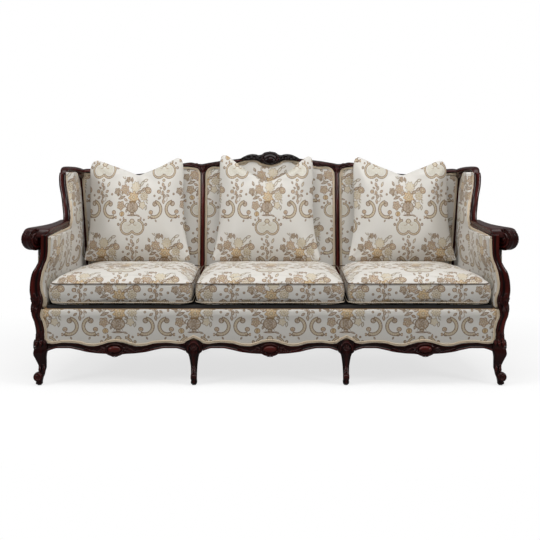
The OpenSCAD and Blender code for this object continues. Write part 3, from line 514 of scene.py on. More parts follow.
def mahogany_build(grain, carved):
    """Glossy red-brown wood. Where it is carved, its hollows are painted nearly black as painted
    shade, and its high carving takes a mottled red as a painted highlight.
    """
    def build(bench):
        place = bench.place()
        streaks = bench.noise(bench.stretched(place, grain), 1.0, 4.0, 0.6)
        clouds = bench.noise(place, 6.0, 2.0)
        pores = bench.noise(bench.stretched(place, tuple(6 * g for g in grain)), 1.0, 2.0)
        height = bench.attribute("relief") if carved else 0.5
        # On carved pieces the relief drives painted light: low places get painted shade and high
        # places a painted highlight.
        ridge = bench.step(height, 0.3, 1.05) if carved else 0.4
        warm = bench.blend(colour(48, 13, 11), colour(84, 24, 18), bench.step(streaks, 0.3, 0.75))
        mottled_red = bench.blend(warm, colour(116, 36, 27), bench.step(clouds, 0.5, 0.8) * 0.6)
        # Painted shade and highlight: hollows fall to near black and raised carving shows the mottled
        # red.
        base = bench.blend(colour(7, 4, 4), mottled_red, ridge * 0.9 + 0.05 if carved else 0.45)
        rough = 0.12 + bench.step(clouds, 0.3, 0.8) * 0.1
        return {"Base Color": base, "Roughness": rough, "Specular IOR Level": 0.24,
                "Normal": bench.bump(pores * 0.5 + streaks, 0.0001, 0.4)}
    return build


GRAIN_UP = (90, 90, 5)
GRAIN_ALONG = (5, 90, 90)
mahogany_upright = surface("mahogany_upright", mahogany_build(GRAIN_UP, True))
mahogany_level = surface("mahogany_level", mahogany_build(GRAIN_ALONG, True))
mahogany_plain = surface("mahogany_plain", mahogany_build(GRAIN_UP, False))


def beech_build(bench):
    place = bench.place()
    streaks = bench.noise(bench.stretched(place, (6, 60, 60)), 1.0, 4.0)
    flecks = bench.noise(bench.stretched(place, (60, 300, 300)), 1.0, 2.0)
    tone = bench.blend(colour(168, 126, 84), colour(206, 170, 124), bench.step(streaks, 0.3, 0.7))
    tone = bench.blend(tone, colour(138, 98, 62), bench.step(flecks, 0.62, 0.75) * 0.5)
    return {"Base Color": tone, "Roughness": 0.55 + streaks * 0.2,
            "Normal": bench.bump(flecks, 0.0002, 0.6)}


def steel_build(bench):
    place = bench.place()
    marks = bench.noise(bench.stretched(place, (40, 400, 400)), 1.0, 3.0)
    tone = bench.blend(colour(120, 121, 124), colour(168, 169, 172), marks)
    return {"Base Color": tone, "Metallic": 1.0, "Roughness": 0.28 + marks * 0.25,
            "Normal": bench.bump(marks, 0.0001, 0.4)}


def lining_build(bench):
    place = bench.place()
    along, across = [bench.node("ShaderNodeTexWave", {"bands_direction": axis},
                                {"Vector": place, "Scale": 260.0, "Distortion": 0.6, "Detail": 1.0})
                     for axis in ("X", "Y")]
    weave = along * across
    dust = bench.noise(place, 14.0, 4.0)
    tone = bench.blend(colour(30, 29, 31), colour(66, 62, 60), dust * 0.6 + weave * 0.3)
    return {"Base Color": tone, "Roughness": 0.92, "Normal": bench.bump(weave, 0.0004, 0.7)}


def jute_build(bench):
    place = bench.place()
    weft = bench.node("ShaderNodeTexWave", {"bands_direction": "Z"},
                      {"Vector": place, "Scale": 120.0, "Distortion": 1.2, "Detail": 2.0})
    fibres = bench.noise(place, 160.0, 3.0)
    tone = bench.blend(colour(128, 102, 70), colour(176, 150, 112), weft * 0.6 + fibres * 0.4)
    return {"Base Color": tone, "Roughness": 0.9, "Normal": bench.bump(weft, 0.0006, 0.8)}


beech = surface("beech", beech_build)
steel = surface("steel", steel_build)
lining = surface("lining", lining_build)
jute = surface("jute", jute_build)

GIMP_TWIST = 5.5


def gimp_build(bench):
    run = bench.attribute("run")
    around = bench.attribute("round")
    strands = (run * (2 * math.pi / (GIMP_TWIST * MM)) + around * (6 * math.pi)).maths("SINE")
    fuzz = bench.noise(bench.place(), 420.0, 2.0)
    shade = bench.step(strands, -1.0, 1.0)
    tone = bench.blend(colour(192, 172, 144), colour(236, 219, 194), shade)
    tone = bench.blend(tone, colour(216, 197, 168), bench.step(fuzz, 0.3, 0.7) * 0.5)
    return {"Base Color": tone, "Roughness": 0.72, "Sheen Weight": 0.2,
            "Normal": bench.bump(strands, 0.0006, 0.8)}


gimp = surface("gimp", gimp_build)

# The brocade's repeat, in millimetres of cloth: each column drops by half a repeat from the last
COLUMN_GAP = 164.0
REPEAT_H = 516.0
REPEAT_TOP = 140.0
RIB_GAP = 2.4
EDGE = 0.7


class Ornament:
    """Draws the woven figures of one column about its urn."""

    def __init__(self, bench, across, up):
        self.bench = bench
        self.point = bench.node("ShaderNodeCombineXYZ", None, {0: across, 1: up, 2: 1.0})
        self.folded = bench.node("ShaderNodeCombineXYZ", None, {0: abs(across), 1: up, 2: 1.0})
        self.masks = {}

    def lay(self, depth, tone, line):
        """Adds a figure from its depth, negative inside, filled with a tone inside a line."""
        if tone:
            self.cover(tone, self.bench.step(depth, EDGE, -EDGE))
        if line:
            self.cover("line", self.bench.step(abs(depth + line / 2) - line / 2, EDGE, -EDGE))

    def cover(self, tone, mask):
        self.masks[tone] = mask.maths("MAXIMUM", self.masks[tone]) if tone in self.masks else mask

    def local(self, at, size, turn=0.0, paired=False):
        """The point seen from a figure's middle, along and across it, in shares of its size."""
        place = self.folded if paired else self.point
        c, s = math.cos(math.radians(turn)), math.sin(math.radians(turn))
        rows = ((c / size[0], s / size[0], -(at[0] * c + at[1] * s) / size[0]),
                (-s / size[1], c / size[1], (at[0] * s - at[1] * c) / size[1]))
        return [self.bench.node("ShaderNodeVectorMath", {"operation": "DOT_PRODUCT"},
                                {0: place, 1: row}, out=1) for row in rows]

    def length(self, along, off):
        place = self.bench.node("ShaderNodeCombineXYZ", None, {0: along, 1: off})
        return self.bench.node("ShaderNodeVectorMath", {"operation": "LENGTH"}, {0: place}, out=1)

    def oval(self, at, size, turn, tone, line, paired=False):
        reach = self.length(*self.local(at, size, turn, paired))
        self.lay((reach - 1.0) * min(size), tone, line)

    def flower(self, at, radius, petals, tone, heart=True):
        """A round flower with waved petals, and a ring and a heart inside."""
        along, off = self.local(at, (radius, radius), 12 * petals)
        reach = self.length(along, off)
        wave = (off.maths("ARCTAN2", along) * float(petals)).maths("COSINE")
        self.lay((reach - 0.88 - wave * 0.12) * radius, tone, 2.0)
        if heart:
            self.lay((reach - 0.6 + wave * 0.1) * radius, "", 2.0)
            self.lay((reach - 0.26) * radius, "light", 2.0)

    def leaf(self, at, length, width, turn, tone, line, paired=False):
        along, off = self.local(at, (length / 2, width / 2), turn, paired)
        self.lay((abs(off) + along * along - 1.0) * (width * 0.4), tone, line)

    def arc(self, at, radius, middle, half_angle, width, tone, line, paired=True, beads=0):
        """A band of a circle, from half_angle before its middle direction to as much after."""
        along, off = self.local(at, (radius, radius), middle, paired)
        reach = self.length(along, off)
        band = abs(reach - 1.0) * radius - width / 2
        ends = (reach * math.cos(math.radians(half_angle)) - along) * radius
        self.lay(band.maths("MAXIMUM", ends), tone, line)
        if beads:
            pulse = (off.maths("ARCTAN2", along) * float(beads)).maths("COSINE")
            dots = (abs(reach - 1.0) * radius - 0.2 * width) - pulse * (0.16 * width)
            self.lay(dots.maths("MAXIMUM", ends + 2.0), "light", 0)


def brocade_build(bench):
    cloth = bench.node("ShaderNodeUVMap", {"uv_map": "cloth"})
    across = bench.apart(cloth, 0) / MM
    up = bench.apart(cloth, 1) / MM
    column = (across / COLUMN_GAP + 0.5).maths("FLOOR")
    x = across - column * COLUMN_GAP
    drop = (column % 2.0) * (REPEAT_H / 2)
    floor_v = REPEAT_TOP - REPEAT_H
    v = (up + drop - floor_v) % REPEAT_H + floor_v
    draw = Ornament(bench, x, v)

    # Scrolls back to back
    draw.arc((49, -268), 35, 200, 102, 16, "taupe", 2.8, beads=24)
    for at, size, tone, line in (
            ((46, -243), (12, 12), "taupe", 2.8), ((66, -281), (11, 10), "rose", 2.6),
            ((66, -281), (4, 4), "taupe", 0), ((78, -304), (7, 7), "rose", 2.4)):
        draw.oval(at, size, 0, tone, line, True)
    draw.leaf((62, -308), 18, 8, 10, "taupe", 1.8, True)
    draw.leaf((40, -320), 15, 8, 60, "taupe", 1.8, True)
    # Stalk
    draw.arc((-2, -186), 17, 205, 100, 3.6, "taupe", 0, paired=False)
    draw.arc((5, -219), 14, 20, 100, 3.4, "taupe", 0, paired=False)
    draw.oval((-25, -187), (10, 9), 0, "rose", 2.4)
    for figure in (
            ((-3, -156), 24, 14, 110, "rose", 2.2), ((5, -172), 24, 14, 70, "taupe", 2.2),
            ((-4, -192), 22, 14, 105, "rose", 2.2), ((3, -210), 24, 14, 75, "taupe", 2.2),
            ((-1, -232), 26, 13, 95, "rose", 2.0), ((30, -154), 28, 12, 62, "light", 2.2),
            ((-27, -146), 16, 10, 120, "taupe", 1.8), ((-16, -170), 16, 8, 150, "taupe", 1.6),
            ((24, -186), 20, 13, 30, "rose", 2.0), ((22, -205), 20, 10, -40, "taupe", 1.6),
            ((-21, -216), 22, 11, 215, "taupe", 1.8)):
        draw.leaf(*figure)
    for at in ((52, -199), (-48, -206)):
        draw.oval(at, (5.5, 5.5), 0, "taupe", 2.0)
    # Cartouche
    draw.arc((27, -91), 32, -32, 118, 11, "taupe", 2.6, beads=18)
    draw.arc((17, -73), 9, 200, 110, 3.6, "taupe", 0)
    for at, size, tone, line, paired in (
            ((24, -91), (25, 24), "sage", 0, True), ((0, -63), (13, 11), "light", 3.2, False),
            ((0, -63), (5, 4), "taupe", 0, False), ((0, -135), (8, 7), "light", 3.2, False),
            ((72, -78), (7, 7), "taupe", 2.6, True), ((62, -57), (5, 5), "taupe", 2.2, True)):
        draw.oval(at, size, 0, tone, line, paired)
    draw.leaf((45, -52), 18, 9, 80, "rose", 1.8, True)
    # Urn
    draw.oval((0, 1), (30, 26), 0, "taupe", 2.8)
    for rib in (-2, -1, 0, 1, 2):
        draw.arc((rib * 26, 2), abs(rib) * 18 + 8, 180 if rib > 0 else 0, 44, 2.2, "line", 0,
                 paired=False)
    for at, size, tone, line in (((0, 26), (19, 4), "rose", 2.2), ((0, -27), (10, 8), "taupe", 2.2),
                                 ((-2, -36), (25, 4), "taupe", 2.0)):
        draw.oval(at, size, 0, tone, line)
    draw.arc((-28, 9), 10, 180, 110, 4, "taupe", 1.6, paired=False)
    draw.arc((30, 12), 9, 0, 110, 4, "taupe", 1.6, paired=False)
    draw.leaf((30, -38), 26, 8, -20, "taupe", 1.6)
    # Bouquet
    for at, length, width, turn, tone in (
            ((-58, 44), 42, 13, 20, "taupe"), ((-60, 60), 26, 11, 60, "sage"),
            ((78, 26), 26, 14, -62, "sage"), ((72, -2), 26, 12, -100, "sage"),
            ((34, 68), 36, 14, 30, "taupe"), ((-52, 138), 30, 13, 135, "sage"),
            ((-40, 118), 24, 11, 60, "sage"), ((-76, 108), 26, 13, 120, "taupe"),
            ((48, 108), 40, 14, 52, "sage"), ((66, 122), 30, 14, 20, "sage"),
            ((58, 82), 34, 14, 28, "taupe"), ((76, 98), 24, 11, 70, "sage"),
            ((-8, 124), 26, 12, 100, "taupe"), ((-78, 56), 22, 11, 200, "taupe"),
            ((-30, -14), 22, 11, 250, "taupe"), ((-22, 62), 30, 13, 40, "rose"),
            ((-36, 34), 24, 12, -30, "rose"), ((36, 30), 20, 10, -40, "taupe")):
        draw.leaf(at, length, width, turn, tone, 2.2)
    draw.oval((-55, -30), (13, 12), 0, "gold", 2.6)
    draw.leaf((-55, -30), 18, 9, 90, "taupe", 1.6)
    for at in ((82, 77), (-82, -181)):
        draw.oval(at, (18, 15), -30, "rose", 2.8)
        draw.oval(at, (10, 7), -30, "light", 2.0)
    for figure in (((15, 92), 27, 9, "light", False), ((-27, 126), 14, 5, "taupe"),
                   ((-82, 72), 18, 5, "taupe"), ((82, -186), 18, 5, "taupe"),
                   ((-43, 82), 25, 7, "rose"), ((53, 9), 19, 5, "light", False),
                   ((-62, 8), 23, 5, "rose"), ((61, 52), 24, 9, "light"), ((5, 46), 29, 7, "gold")):
        draw.flower(*figure)

    # Colours of the weave, from the satin ground up
    masks = draw.masks
    grain = bench.noise(bench.stretched(cloth, (420, 2600, 1)), 1.0, 2.0)
    clouds = bench.noise(cloth, 9.0, 3.0)
    ribs = (up * (2 * math.pi / RIB_GAP)).maths("SINE")
    ground = bench.blend(colour(197, 194, 188), colour(212, 209, 203), grain)
    ground = bench.blend(ground, colour(206, 201, 192), bench.step(clouds, 0.4, 0.75) * 0.5)
    stitches = bench.step(bench.noise(cloth, 150.0, 2.0), 0.36, 0.6) * 0.55 + 0.45
    figure = ground
    for tone, shade, share in (("sage", colour(187, 181, 163), 0.8),
                               ("taupe", colour(150, 128, 101), 0.95),
                               ("rose", colour(168, 141, 109), 0.95),
                               ("gold", colour(190, 159, 108), 0.95),
                               ("light", colour(192, 178, 150), 0.95)):
        figure = bench.blend(figure, shade, masks[tone] * share * stitches)
    figure = bench.blend(figure, colour(106, 80, 55), masks["line"] * (0.84 + ribs * 0.06))
    woven = masks["line"].maths("MAXIMUM", masks["taupe"]).maths("MAXIMUM", masks["rose"])
    thread = ribs * 0.35 + grain
    return {"Base Color": figure, "Roughness": 0.5 + woven * 0.28, "Specular IOR Level": 0.35,
            "Sheen Weight": 0.15, "Sheen Roughness": 0.45,
            "Normal": bench.bump(thread, 0.00025, 0.5)}


brocade = surface("brocade", brocade_build)

# Show-wood: legs, posts and rails as moulded bars. A row of a leg or a post gives the share of the
# way up, the outer and inner edge in shares of its width, and the front and rear in shares of its
# depth, or of the wing's rake. A row of an arm or wing rail gives the share of the way back, the
# outer and inner edge, and the under and upper edge in shares of its thickness. A centre leg's two
# sides are alike.

CORNER_LEG = [
    [0.03, 0.88, 0.42, -0.20, 0.32], [0.07, 0.88, 0.42, -0.20, 0.37],
    [0.115, 0.70, 0.40, -0.12, 0.40], [0.17, 0.72, 0.35, -0.10, 0.42],
    [0.22, 0.74, 0.28, -0.10, 0.44], [0.265, 0.74, 0.25, -0.06, 0.48],
    [0.315, 0.70, 0.22, 0.0, 0.52], [0.37, 0.67, 0.17, 0.07, 0.59],
    [0.475, 0.77, 0.17, 0.00, 0.67], [0.59, 0.93, 0.18, -0.11, 0.78],
    [0.70, 1.07, 0.13, -0.19, 0.89], [0.80, 1.02, 0.00, -0.15, 0.96],
    [0.91, 0.90, 0.00, -0.04, 1.00], [1.00, 0.93, 0.00, 0.00, 1.00]]
CENTRE_LEG = [
    [0.03, 0.34, -0.10, 0.33], [0.07, 0.36, -0.16, 0.41], [0.11, 0.33, -0.14, 0.44],
    [0.17, 0.33, -0.16, 0.44], [0.23, 0.34, -0.18, 0.48], [0.28, 0.35, -0.10, 0.52],
    [0.34, 0.36, 0.0, 0.56], [0.41, 0.38, 0.07, 0.63], [0.51, 0.44, -0.04, 0.70],
    [0.62, 0.53, -0.15, 0.78], [0.70, 0.66, -0.20, 0.85], [0.745, 0.92, -0.17, 0.85],
    [0.81, 1.00, -0.14, 0.85], [0.90, 1.00, -0.07, 0.85], [0.945, 1.00, -0.02, 0.85],
    [0.975, 0.87, 0.0, 0.85], [1.00, 0.70, 0.02, 0.85]]
ARM_POST = [
    [0.00, 0.93, 0.20, 0.00, 0.89], [0.08, 0.87, 0.20, 0.00, 0.89],
    [0.17, 0.97, 0.32, -0.04, 0.87], [0.24, 1.15, 0.50, -0.04, 0.87],
    [0.32, 1.22, 0.37, 0.00, 0.90], [0.38, 1.12, 0.30, 0.04, 0.93],
    [0.41, 1.23, 0.33, 0.06, 0.95], [0.475, 1.30, 0.47, 0.10, 1.00],
    [0.535, 1.28, 0.50, 0.15, 1.03], [0.585, 1.23, 0.45, 0.20, 1.07],
    [0.64, 1.12, 0.37, 0.25, 1.11], [0.705, 0.83, 0.22, 0.33, 1.17],
    [0.775, 0.60, 0.02, 0.40, 1.22], [0.845, 0.53, -0.05, 0.45, 1.26],
    [0.93, 0.53, -0.07, 0.48, 1.30], [1.00, 0.53, -0.07, 0.50, 1.30]]
POST_H = ARM_TOP_Z - ARM_RAIL_T * 0.8 - LEG_TOP_Z
ARM_RAIL = [
    [0.08, 0.81, 0.03, -1.15, -0.32], [0.13, 0.88, -0.03, -1.09, -0.09],
    [0.22, 0.86, -0.08, -0.97, 0.00], [0.32, 0.70, -0.12, -0.91, 0.03],
    [0.49, 0.49, -0.17, -0.85, 0.03], [0.67, 0.31, -0.22, -0.79, 0.06],
    [0.84, 0.17, -0.27, -0.74, 0.15], [1.00, 0.08, -0.31, -0.68, 0.26]]
WING_POST = [
    [0.00, 0.30, -0.33, 0.00, 0.50], [0.54, 0.30, -0.44, 0.00, 0.50],
    [0.58, 0.28, -0.74, 0.00, 0.54], [0.64, 0.17, -0.88, 0.06, 0.59],
    [0.73, 0.36, -0.72, 0.29, 0.84], [0.81, 0.60, -0.44, 0.54, 1.09],
    [0.91, 0.93, -0.14, 0.75, 1.31], [0.965, 0.98, -0.08, 0.84, 1.41],
    [1.00, 0.92, -0.10, 0.89, 1.46]]
WING_POST_H = WING_TOP_Z - SEAT_RAIL_Z
WING_RAIL = [
    [0.00, 0.92, -0.12, -0.30, 1.00], [0.16, 0.84, -0.16, -0.30, 1.04],
    [0.52, 0.40, -0.46, -0.70, 0.85], [0.80, 0.00, -0.84, -1.25, 0.54],
    [1.00, -0.22, -0.98, -1.70, 0.23]]
GLIDE_H = 6.0
SECTION = unit_section(76, 5.0)
SECTION_P, SECTION_Q = SECTION.T
ON_FRONT = soft_step(-SECTION_Q, 0.55, 0.98)


def post_moulding(p):
    """Height of the moulding over a post's front, from its inner to its outer edge."""
    return (2.4 * bead(p, 0.42, 0.4) + 1.2 * bead(p, -0.72, 0.2) - 1.6 * bead(p, -0.22, 0.13)
            - 1.4 * bead(p, 0.93, 0.08))


def moulded_relief(height):
    """How high a moulded face counts as carved, which sets the wood's painted shade in its grooves and
    painted highlight on its beads.
    """
    return 0.45 + 0.22 * height


def upright_bar(work, rows, x_of, t_of, z_of, count, moulding):
    """A bar through level sections, with its moulding on the front."""
    smooth = run_through(rows, np.linspace(rows[0][0], rows[-1][0], count))
    height = moulding(SECTION_P) if moulding else np.zeros(len(SECTION_P))
    loops, relief = [], []
    for row in smooth:
        xo, xi = x_of(row)
        tf, tb = t_of(row)
        z = z_of(row[0])
        x = (xo + xi) / 2 + SECTION_P * (xo - xi) / 2
        t = (tf + tb) / 2 + SECTION_Q * (tb - tf) / 2 - height * ON_FRONT
        loops.append(np.stack([x, t, np.full(len(x), z)], axis=1))
        relief.append(mix(0.45, moulded_relief(height), ON_FRONT))
    work.loft(loops, relief)


NOSE_RUN = 7


def leg_x(row):
    return (LEG_IN_X + row[1] * LEG_W, LEG_IN_X + row[2] * LEG_W)


def leg_t(row):
    return (row[3] * LEG_D, row[4] * LEG_D)


def leg_z(share):
    return max(GLIDE_H, share * LEG_TOP_Z)


def wing_x(row):
    return (WING_X + row[1] * WING_W, WING_X + row[2] * WING_W)


def along_bar(work, rows, x_of, z_of, t_of, count, moulding, lean=0.0, power=5.0):
    """A bar through upright sections that run back from the front, moulded on its inner side."""
    smooth = run_through(rows, np.linspace(rows[0][0], rows[-1][0], count))
    across, up = unit_section(76, power).T
    inside = soft_step(-across, 0.4, 0.95)
    loops, relief = [], []
    for k, row in enumerate(smooth):
        nose = 1 - 0.35 * max(0, 1 - k / NOSE_RUN) ** 2
        drop = 1 - 0.8 * max(0, 1 - k / NOSE_RUN) ** 2
        xo, xi = x_of(row)
        zl, zh = z_of(row)
        t = t_of(row[0])
        height = moulding(up)
        x = (xo + xi) / 2 + across * nose * (xo - xi) / 2 - height * inside * nose
        z = zl + (1 + up) * drop * (zh - zl) / 2
        tip = up * (zh - zl) / 2 * lean * row[0]
        loops.append(np.stack([x, t + tip, z], axis=1))
        relief.append(mix(0.6, moulded_relief(height), inside))
    work.loft(loops, relief)


ROPE_SIDES = 12


def rope(work, points, radii, up):
    """A round rope of carved wood along a line."""
    points = np.asarray(points, float)
    radii = np.broadcast_to(np.asarray(radii, float), (len(points),))
    tangent = np.gradient(points, axis=0)
    tangent /= np.linalg.norm(tangent, axis=1)[:, None]
    side = np.cross(tangent, up)
    side /= np.maximum(np.linalg.norm(side, axis=1), 1e-9)[:, None]
    top = np.cross(side, tangent)
    a = round_angles(ROPE_SIDES)
    loops = (points[:, None] + side[:, None] * (np.cos(a) * radii[:, None])[..., None]
             + top[:, None] * (np.sin(a) * radii[:, None])[..., None])
    work.loft(loops, np.broadcast_to(0.8 * (0.6 + 0.4 * np.sin(a)), loops.shape[:2]))


LEAF_STATIONS = 26


def leaf(work, spine, out, width, rise, lobes=3):
    """A carved leaf along a spine: lobed edges, a sunk midrib, and veins to the lobes."""
    spine = spline(spine, LEAF_STATIONS)
    out = np.broadcast_to(np.asarray(out, float), spine.shape)
    out = out / np.linalg.norm(out, axis=1)[:, None]
    tangent = np.gradient(spine, axis=0)
    tangent /= np.linalg.norm(tangent, axis=1)[:, None]
    side = np.cross(tangent, out)
    side /= np.linalg.norm(side, axis=1)[:, None]
    s = np.linspace(0, 1, LEAF_STATIONS)
    body = np.sin(np.pi * np.clip(s, 0.02, 0.985) ** 0.8) ** 0.75
    edge = body * (1 - 0.28 * np.abs(np.cos(np.pi * (lobes + 0.5) * s)) * (s > 0.08))
    w = np.linspace(-1, 1, 13)
    loops, relief = [], []
    for k in range(LEAF_STATIONS):
        veins = 0.5 + 0.5 * np.cos(2 * np.pi * (lobes + 0.5) * (s[k] - 0.11 * np.abs(w)))
        dome = (1 - w**2) ** 0.55
        height = dome * (0.72 + 0.28 * veins) - 0.5 * bead(w, 0, 0.16)
        lift = rise * height * mix(0.35, 1, body[k])
        top = (spine[k] + side[k] * (w * width / 2 * edge[k])[:, None] + out[k] * lift[:, None])
        under = spine[k] + side[k] * (w[-2:0:-3] * width / 2 * edge[k] * 0.9)[:, None] - out[k] * 2.5
        loops.append(np.vstack([top, under]))
        relief.append(np.concatenate([np.clip(height, 0, 1), np.zeros(len(under))]))
    work.loft(loops, relief)


def coil(centre, across, up, start, end, turns, begin, count):
    """Points of a flat spiral about a centre, in the plane of two directions."""
    a = np.radians(begin) + np.linspace(0, 2 * np.pi * turns, count)
    r = np.linspace(start, end, count)
    return (np.asarray(centre, float) + np.asarray(across, float) * (r * np.cos(a))[:, None]
            + np.asarray(up, float) * (r * np.sin(a))[:, None])


# Front corner legs

LEG_STATIONS = 80
TOE_R = 21.0
TOE_Z = 38.0
FORWARD = (0, -1, 0)

corner_leg = Work()
upright_bar(corner_leg, CORNER_LEG, leg_x, leg_t, leg_z, LEG_STATIONS, None)
toe = np.array([LEG_IN_X + 0.68 * LEG_W, 0, TOE_Z])
toe_cos, toe_sin = np.cos(round_angles(48)), np.sin(round_angles(48))
corner_leg.loft([toe + np.stack([r * toe_cos, np.full(48, t), r * toe_sin], axis=1)
                 for t, r in ((14, TOE_R * 0.6), (6, TOE_R * 0.96), (-8, TOE_R), (-15, TOE_R * 0.97),
                              (-18.2, TOE_R * 0.86), (-19, TOE_R * 0.6), (-19, 0.1))], 0.55)
rope(corner_leg, coil(toe + [0, -18.2, 0], (1, 0, 0), (0, 0, 1), 14.5, 2.5, 1.7, 100, 70),
     np.linspace(3.6, 2.2, 70), FORWARD)
for dx, lean in ((0.2, -6), (0.5, 2)):
    x = LEG_IN_X + dx * LEG_W
    leaf(corner_leg, [(x + 6, 2, 92), (x + 5, -5, 72), (x + 5 + lean, -13, 54)], FORWARD, 14, 3.0, 2)
for dx, dz in ((0.76, 0), (0.44, 4), (0.16, 10)):
    x = LEG_IN_X + dx * LEG_W
    leaf(corner_leg, [(x - 2, -1, LEG_TOP_Z + 4), (x + 2, -6, 184 + dz * 0.5), (x + 3, -9, 166 + dz)],
         (0, -1, 0.1), 20, 2.6, 3)
leaf(corner_leg, [(LEG_IN_X + 0.94 * LEG_W, 6, LEG_TOP_Z + 2), (LEG_IN_X + 1.0 * LEG_W, 8, 180),
                  (LEG_IN_X + 1.06 * LEG_W, 12, 158)], (1, -0.5, 0), 24, 3, 3)

# Centre legs with their shells

centre_leg = Work()
upright_bar(centre_leg, CENTRE_LEG,
            lambda r: (STILE_X + r[1] * CENTRE_LEG_HALF_W, STILE_X - r[1] * CENTRE_LEG_HALF_W),
            lambda r: (r[2] * LEG_D, r[3] * LEG_D), leg_z, LEG_STATIONS,
            lambda p: 1.5 * bead(p, 0, 0.35) - 0.8 * bead(abs(p), 0.6, 0.15))
CENTRE_TOE_R = 13.0
CENTRE_TOE_T = -8
centre_toe = np.array([STILE_X, 0, TOE_Z])
centre_leg.loft([centre_toe + np.stack([np.full(48, x), CENTRE_TOE_T + r * toe_cos, r * toe_sin],
                                       axis=1)
                 for x, r in ((-13.5, 0.1), (-13.5, CENTRE_TOE_R * 0.6), (-12.6, CENTRE_TOE_R * 0.9),
                              (-9, CENTRE_TOE_R), (9, CENTRE_TOE_R), (12.6, CENTRE_TOE_R * 0.9),
                              (13.5, CENTRE_TOE_R * 0.6), (13.5, 0.1))], 0.6)
for side in (LEFT, RIGHT):
    leaf(centre_leg, [(STILE_X + side * 3, 3, 84), (STILE_X + side * 5, -5, 66),
                      (STILE_X + side * 6, -19, 50)], FORWARD, 11, 3, 2)
arch = [(-25, -7, 152), (-24, -9, 168), (-15, -10, 182), (0, -8, 189), (15, -10, 182), (24, -9, 168),
        (25, -7, 152)]
rope(centre_leg, spline([(STILE_X + x, t, z) for x, t, z in arch], 60), 3.2, FORWARD)
for angle in (-56, -28, 0, 28, 56):
    a = math.radians(angle)
    leaf(centre_leg, [(STILE_X + 2 * math.sin(a), -13, 154),
                      (STILE_X + 11 * math.sin(a), -13, 154 + 12 * math.cos(a)),
                      (STILE_X + 20 * math.sin(a), -10, 154 + 27 * math.cos(a))],
         FORWARD, 11, 3.5, 1)
leaf(centre_leg, [(STILE_X, -14, 158), (STILE_X, -14, 142), (STILE_X, -10, 120)], FORWARD, 15, 4, 3)

# Arm posts

arm_post = Work()
upright_bar(arm_post, ARM_POST, leg_x, leg_t, lambda share: LEG_TOP_Z + share * POST_H, 150,
            post_moulding)


def post_row(z):
    return run_through(ARM_POST, [(z - LEG_TOP_Z) / POST_H])[0]


def post_front(z, across):
    """A point on the post's front at height z, from its inner edge at 0 to its outer edge at 1."""
    row = post_row(z)
    return (LEG_IN_X + LEG_W * mix(row[2], row[1], across), row[3] * LEG_D - 1.5, z)


for start, end, at, width, turned in ((384, 344, 0.92, 22, 0.5), (402, 352, 0.62, 22, 0),
                                      (388, 348, 0.3, 18, 0), (372, 336, 0.05, 14, -0.3),
                                      (318, 352, 0.85, 20, 0.4), (312, 346, 0.45, 20, 0),
                                      (206, 236, 0.8, 22, 0.4), (200, 240, 0.35, 20, 0)):
    leaf(arm_post, [post_front(mix(start, end, w), mix(at, 0.5, w * 0.3)) for w in (0, 0.5, 1)],
         (turned, -1, 0), width, 4.0, 3)

# Arm rails with their scrolls

arm_rail = Work()
along_bar(arm_rail, ARM_RAIL,
          lambda r: (LEG_IN_X + r[1] * KNUCKLE_REACH, LEG_IN_X + r[2] * KNUCKLE_REACH),
          lambda r: (ARM_TOP_Z + r[3] * ARM_RAIL_T, ARM_TOP_Z + r[4] * ARM_RAIL_T),
          lambda share: share * ARM_BACK_T, 90,
          lambda q: 2.4 * bead(q, -0.45, 0.24) + 1.6 * bead(q, 0.5, 0.3) - 1.6 * bead(q, 0.0, 0.12))
knuckle_at = np.array([LEG_IN_X + 0.4 * KNUCKLE_REACH, 0.7 * LEG_D, ARM_TOP_Z - KNUCKLE_R])
knuckle_axis = np.array([math.cos(KNUCKLE_TURN), math.sin(KNUCKLE_TURN), 0])
knuckle_side = np.array([math.sin(KNUCKLE_TURN), -math.cos(KNUCKLE_TURN), 0])
knuckle_up = np.array([0, 0, 1.0])
KNUCKLE = [[0, 0.0], [0.5, 0.5], [1, 0.86], [1.6, 0.93], [2.4, 0.985], [3.2, 1.0], [9, 1.0],
           [16, 0.97], [30, 1.0], [38, 1.0], [46, 0.96], [54, 0.84], [59, 0.66], [61.5, 0.4],
           [KNUCKLE_L, 0.0]]
rim_angles = round_angles(96)


def knuckle_loop(along, radius, flute):
    """A ring of the drum at the end of an arm rail, fluted by a share of its radius."""
    ring = radius * (1 + flute * np.cos(20 * rim_angles)) * KNUCKLE_R
    return (knuckle_at + knuckle_axis * along + knuckle_side * (ring * np.cos(rim_angles))[:, None]
            + knuckle_up * (ring * np.sin(rim_angles))[:, None])


def knuckle_radius(along):
    return np.interp(along, *np.transpose(KNUCKLE))


def drum_out(degrees):
    """The way out of the drum, turned from its inner side over its top."""
    a = math.radians(degrees)
    return -knuckle_side * math.cos(a) + knuckle_up * math.sin(a)


drum_runs = np.concatenate([np.linspace(0, 4, 14), np.linspace(4.6, 58, 40),
                            np.linspace(58.5, KNUCKLE_L, 10)])
arm_rail.loft([knuckle_loop(d, max(knuckle_radius(d), 0.02), 0.012 * bead(d, 52, 5))
               for d in drum_runs], 0.55)
rope(arm_rail, coil(knuckle_at - knuckle_axis * 0.6, knuckle_side, knuckle_up, 42, 7, 2.1, 90, 150),
     np.linspace(5.4, 3.2, 150), tuple(-knuckle_axis))
arm_rail.loft([knuckle_at - knuckle_axis * h + knuckle_side * (r * np.cos(rim_angles[::4]))[:, None]
               + knuckle_up * (r * np.sin(rim_angles[::4]))[:, None]
               for h, r in ((-2, 8), (1, 8), (3, 7), (4.5, 4.5), (5, 1.5))], 0.9)
for along, start, end in ((12, 95, 30), (26, 100, 10), (40, 95, 25)):
    last = 180 - end * 1.2
    leaf(arm_rail, [knuckle_at + knuckle_axis * along + (KNUCKLE_R - 0.5) * drum_out(a)
                    for a in np.linspace(start, last, 5)],
         [drum_out(a) for a in np.linspace(start, last, LEAF_STATIONS)], 15, 3.2, 3)

# Wing posts and wing rails

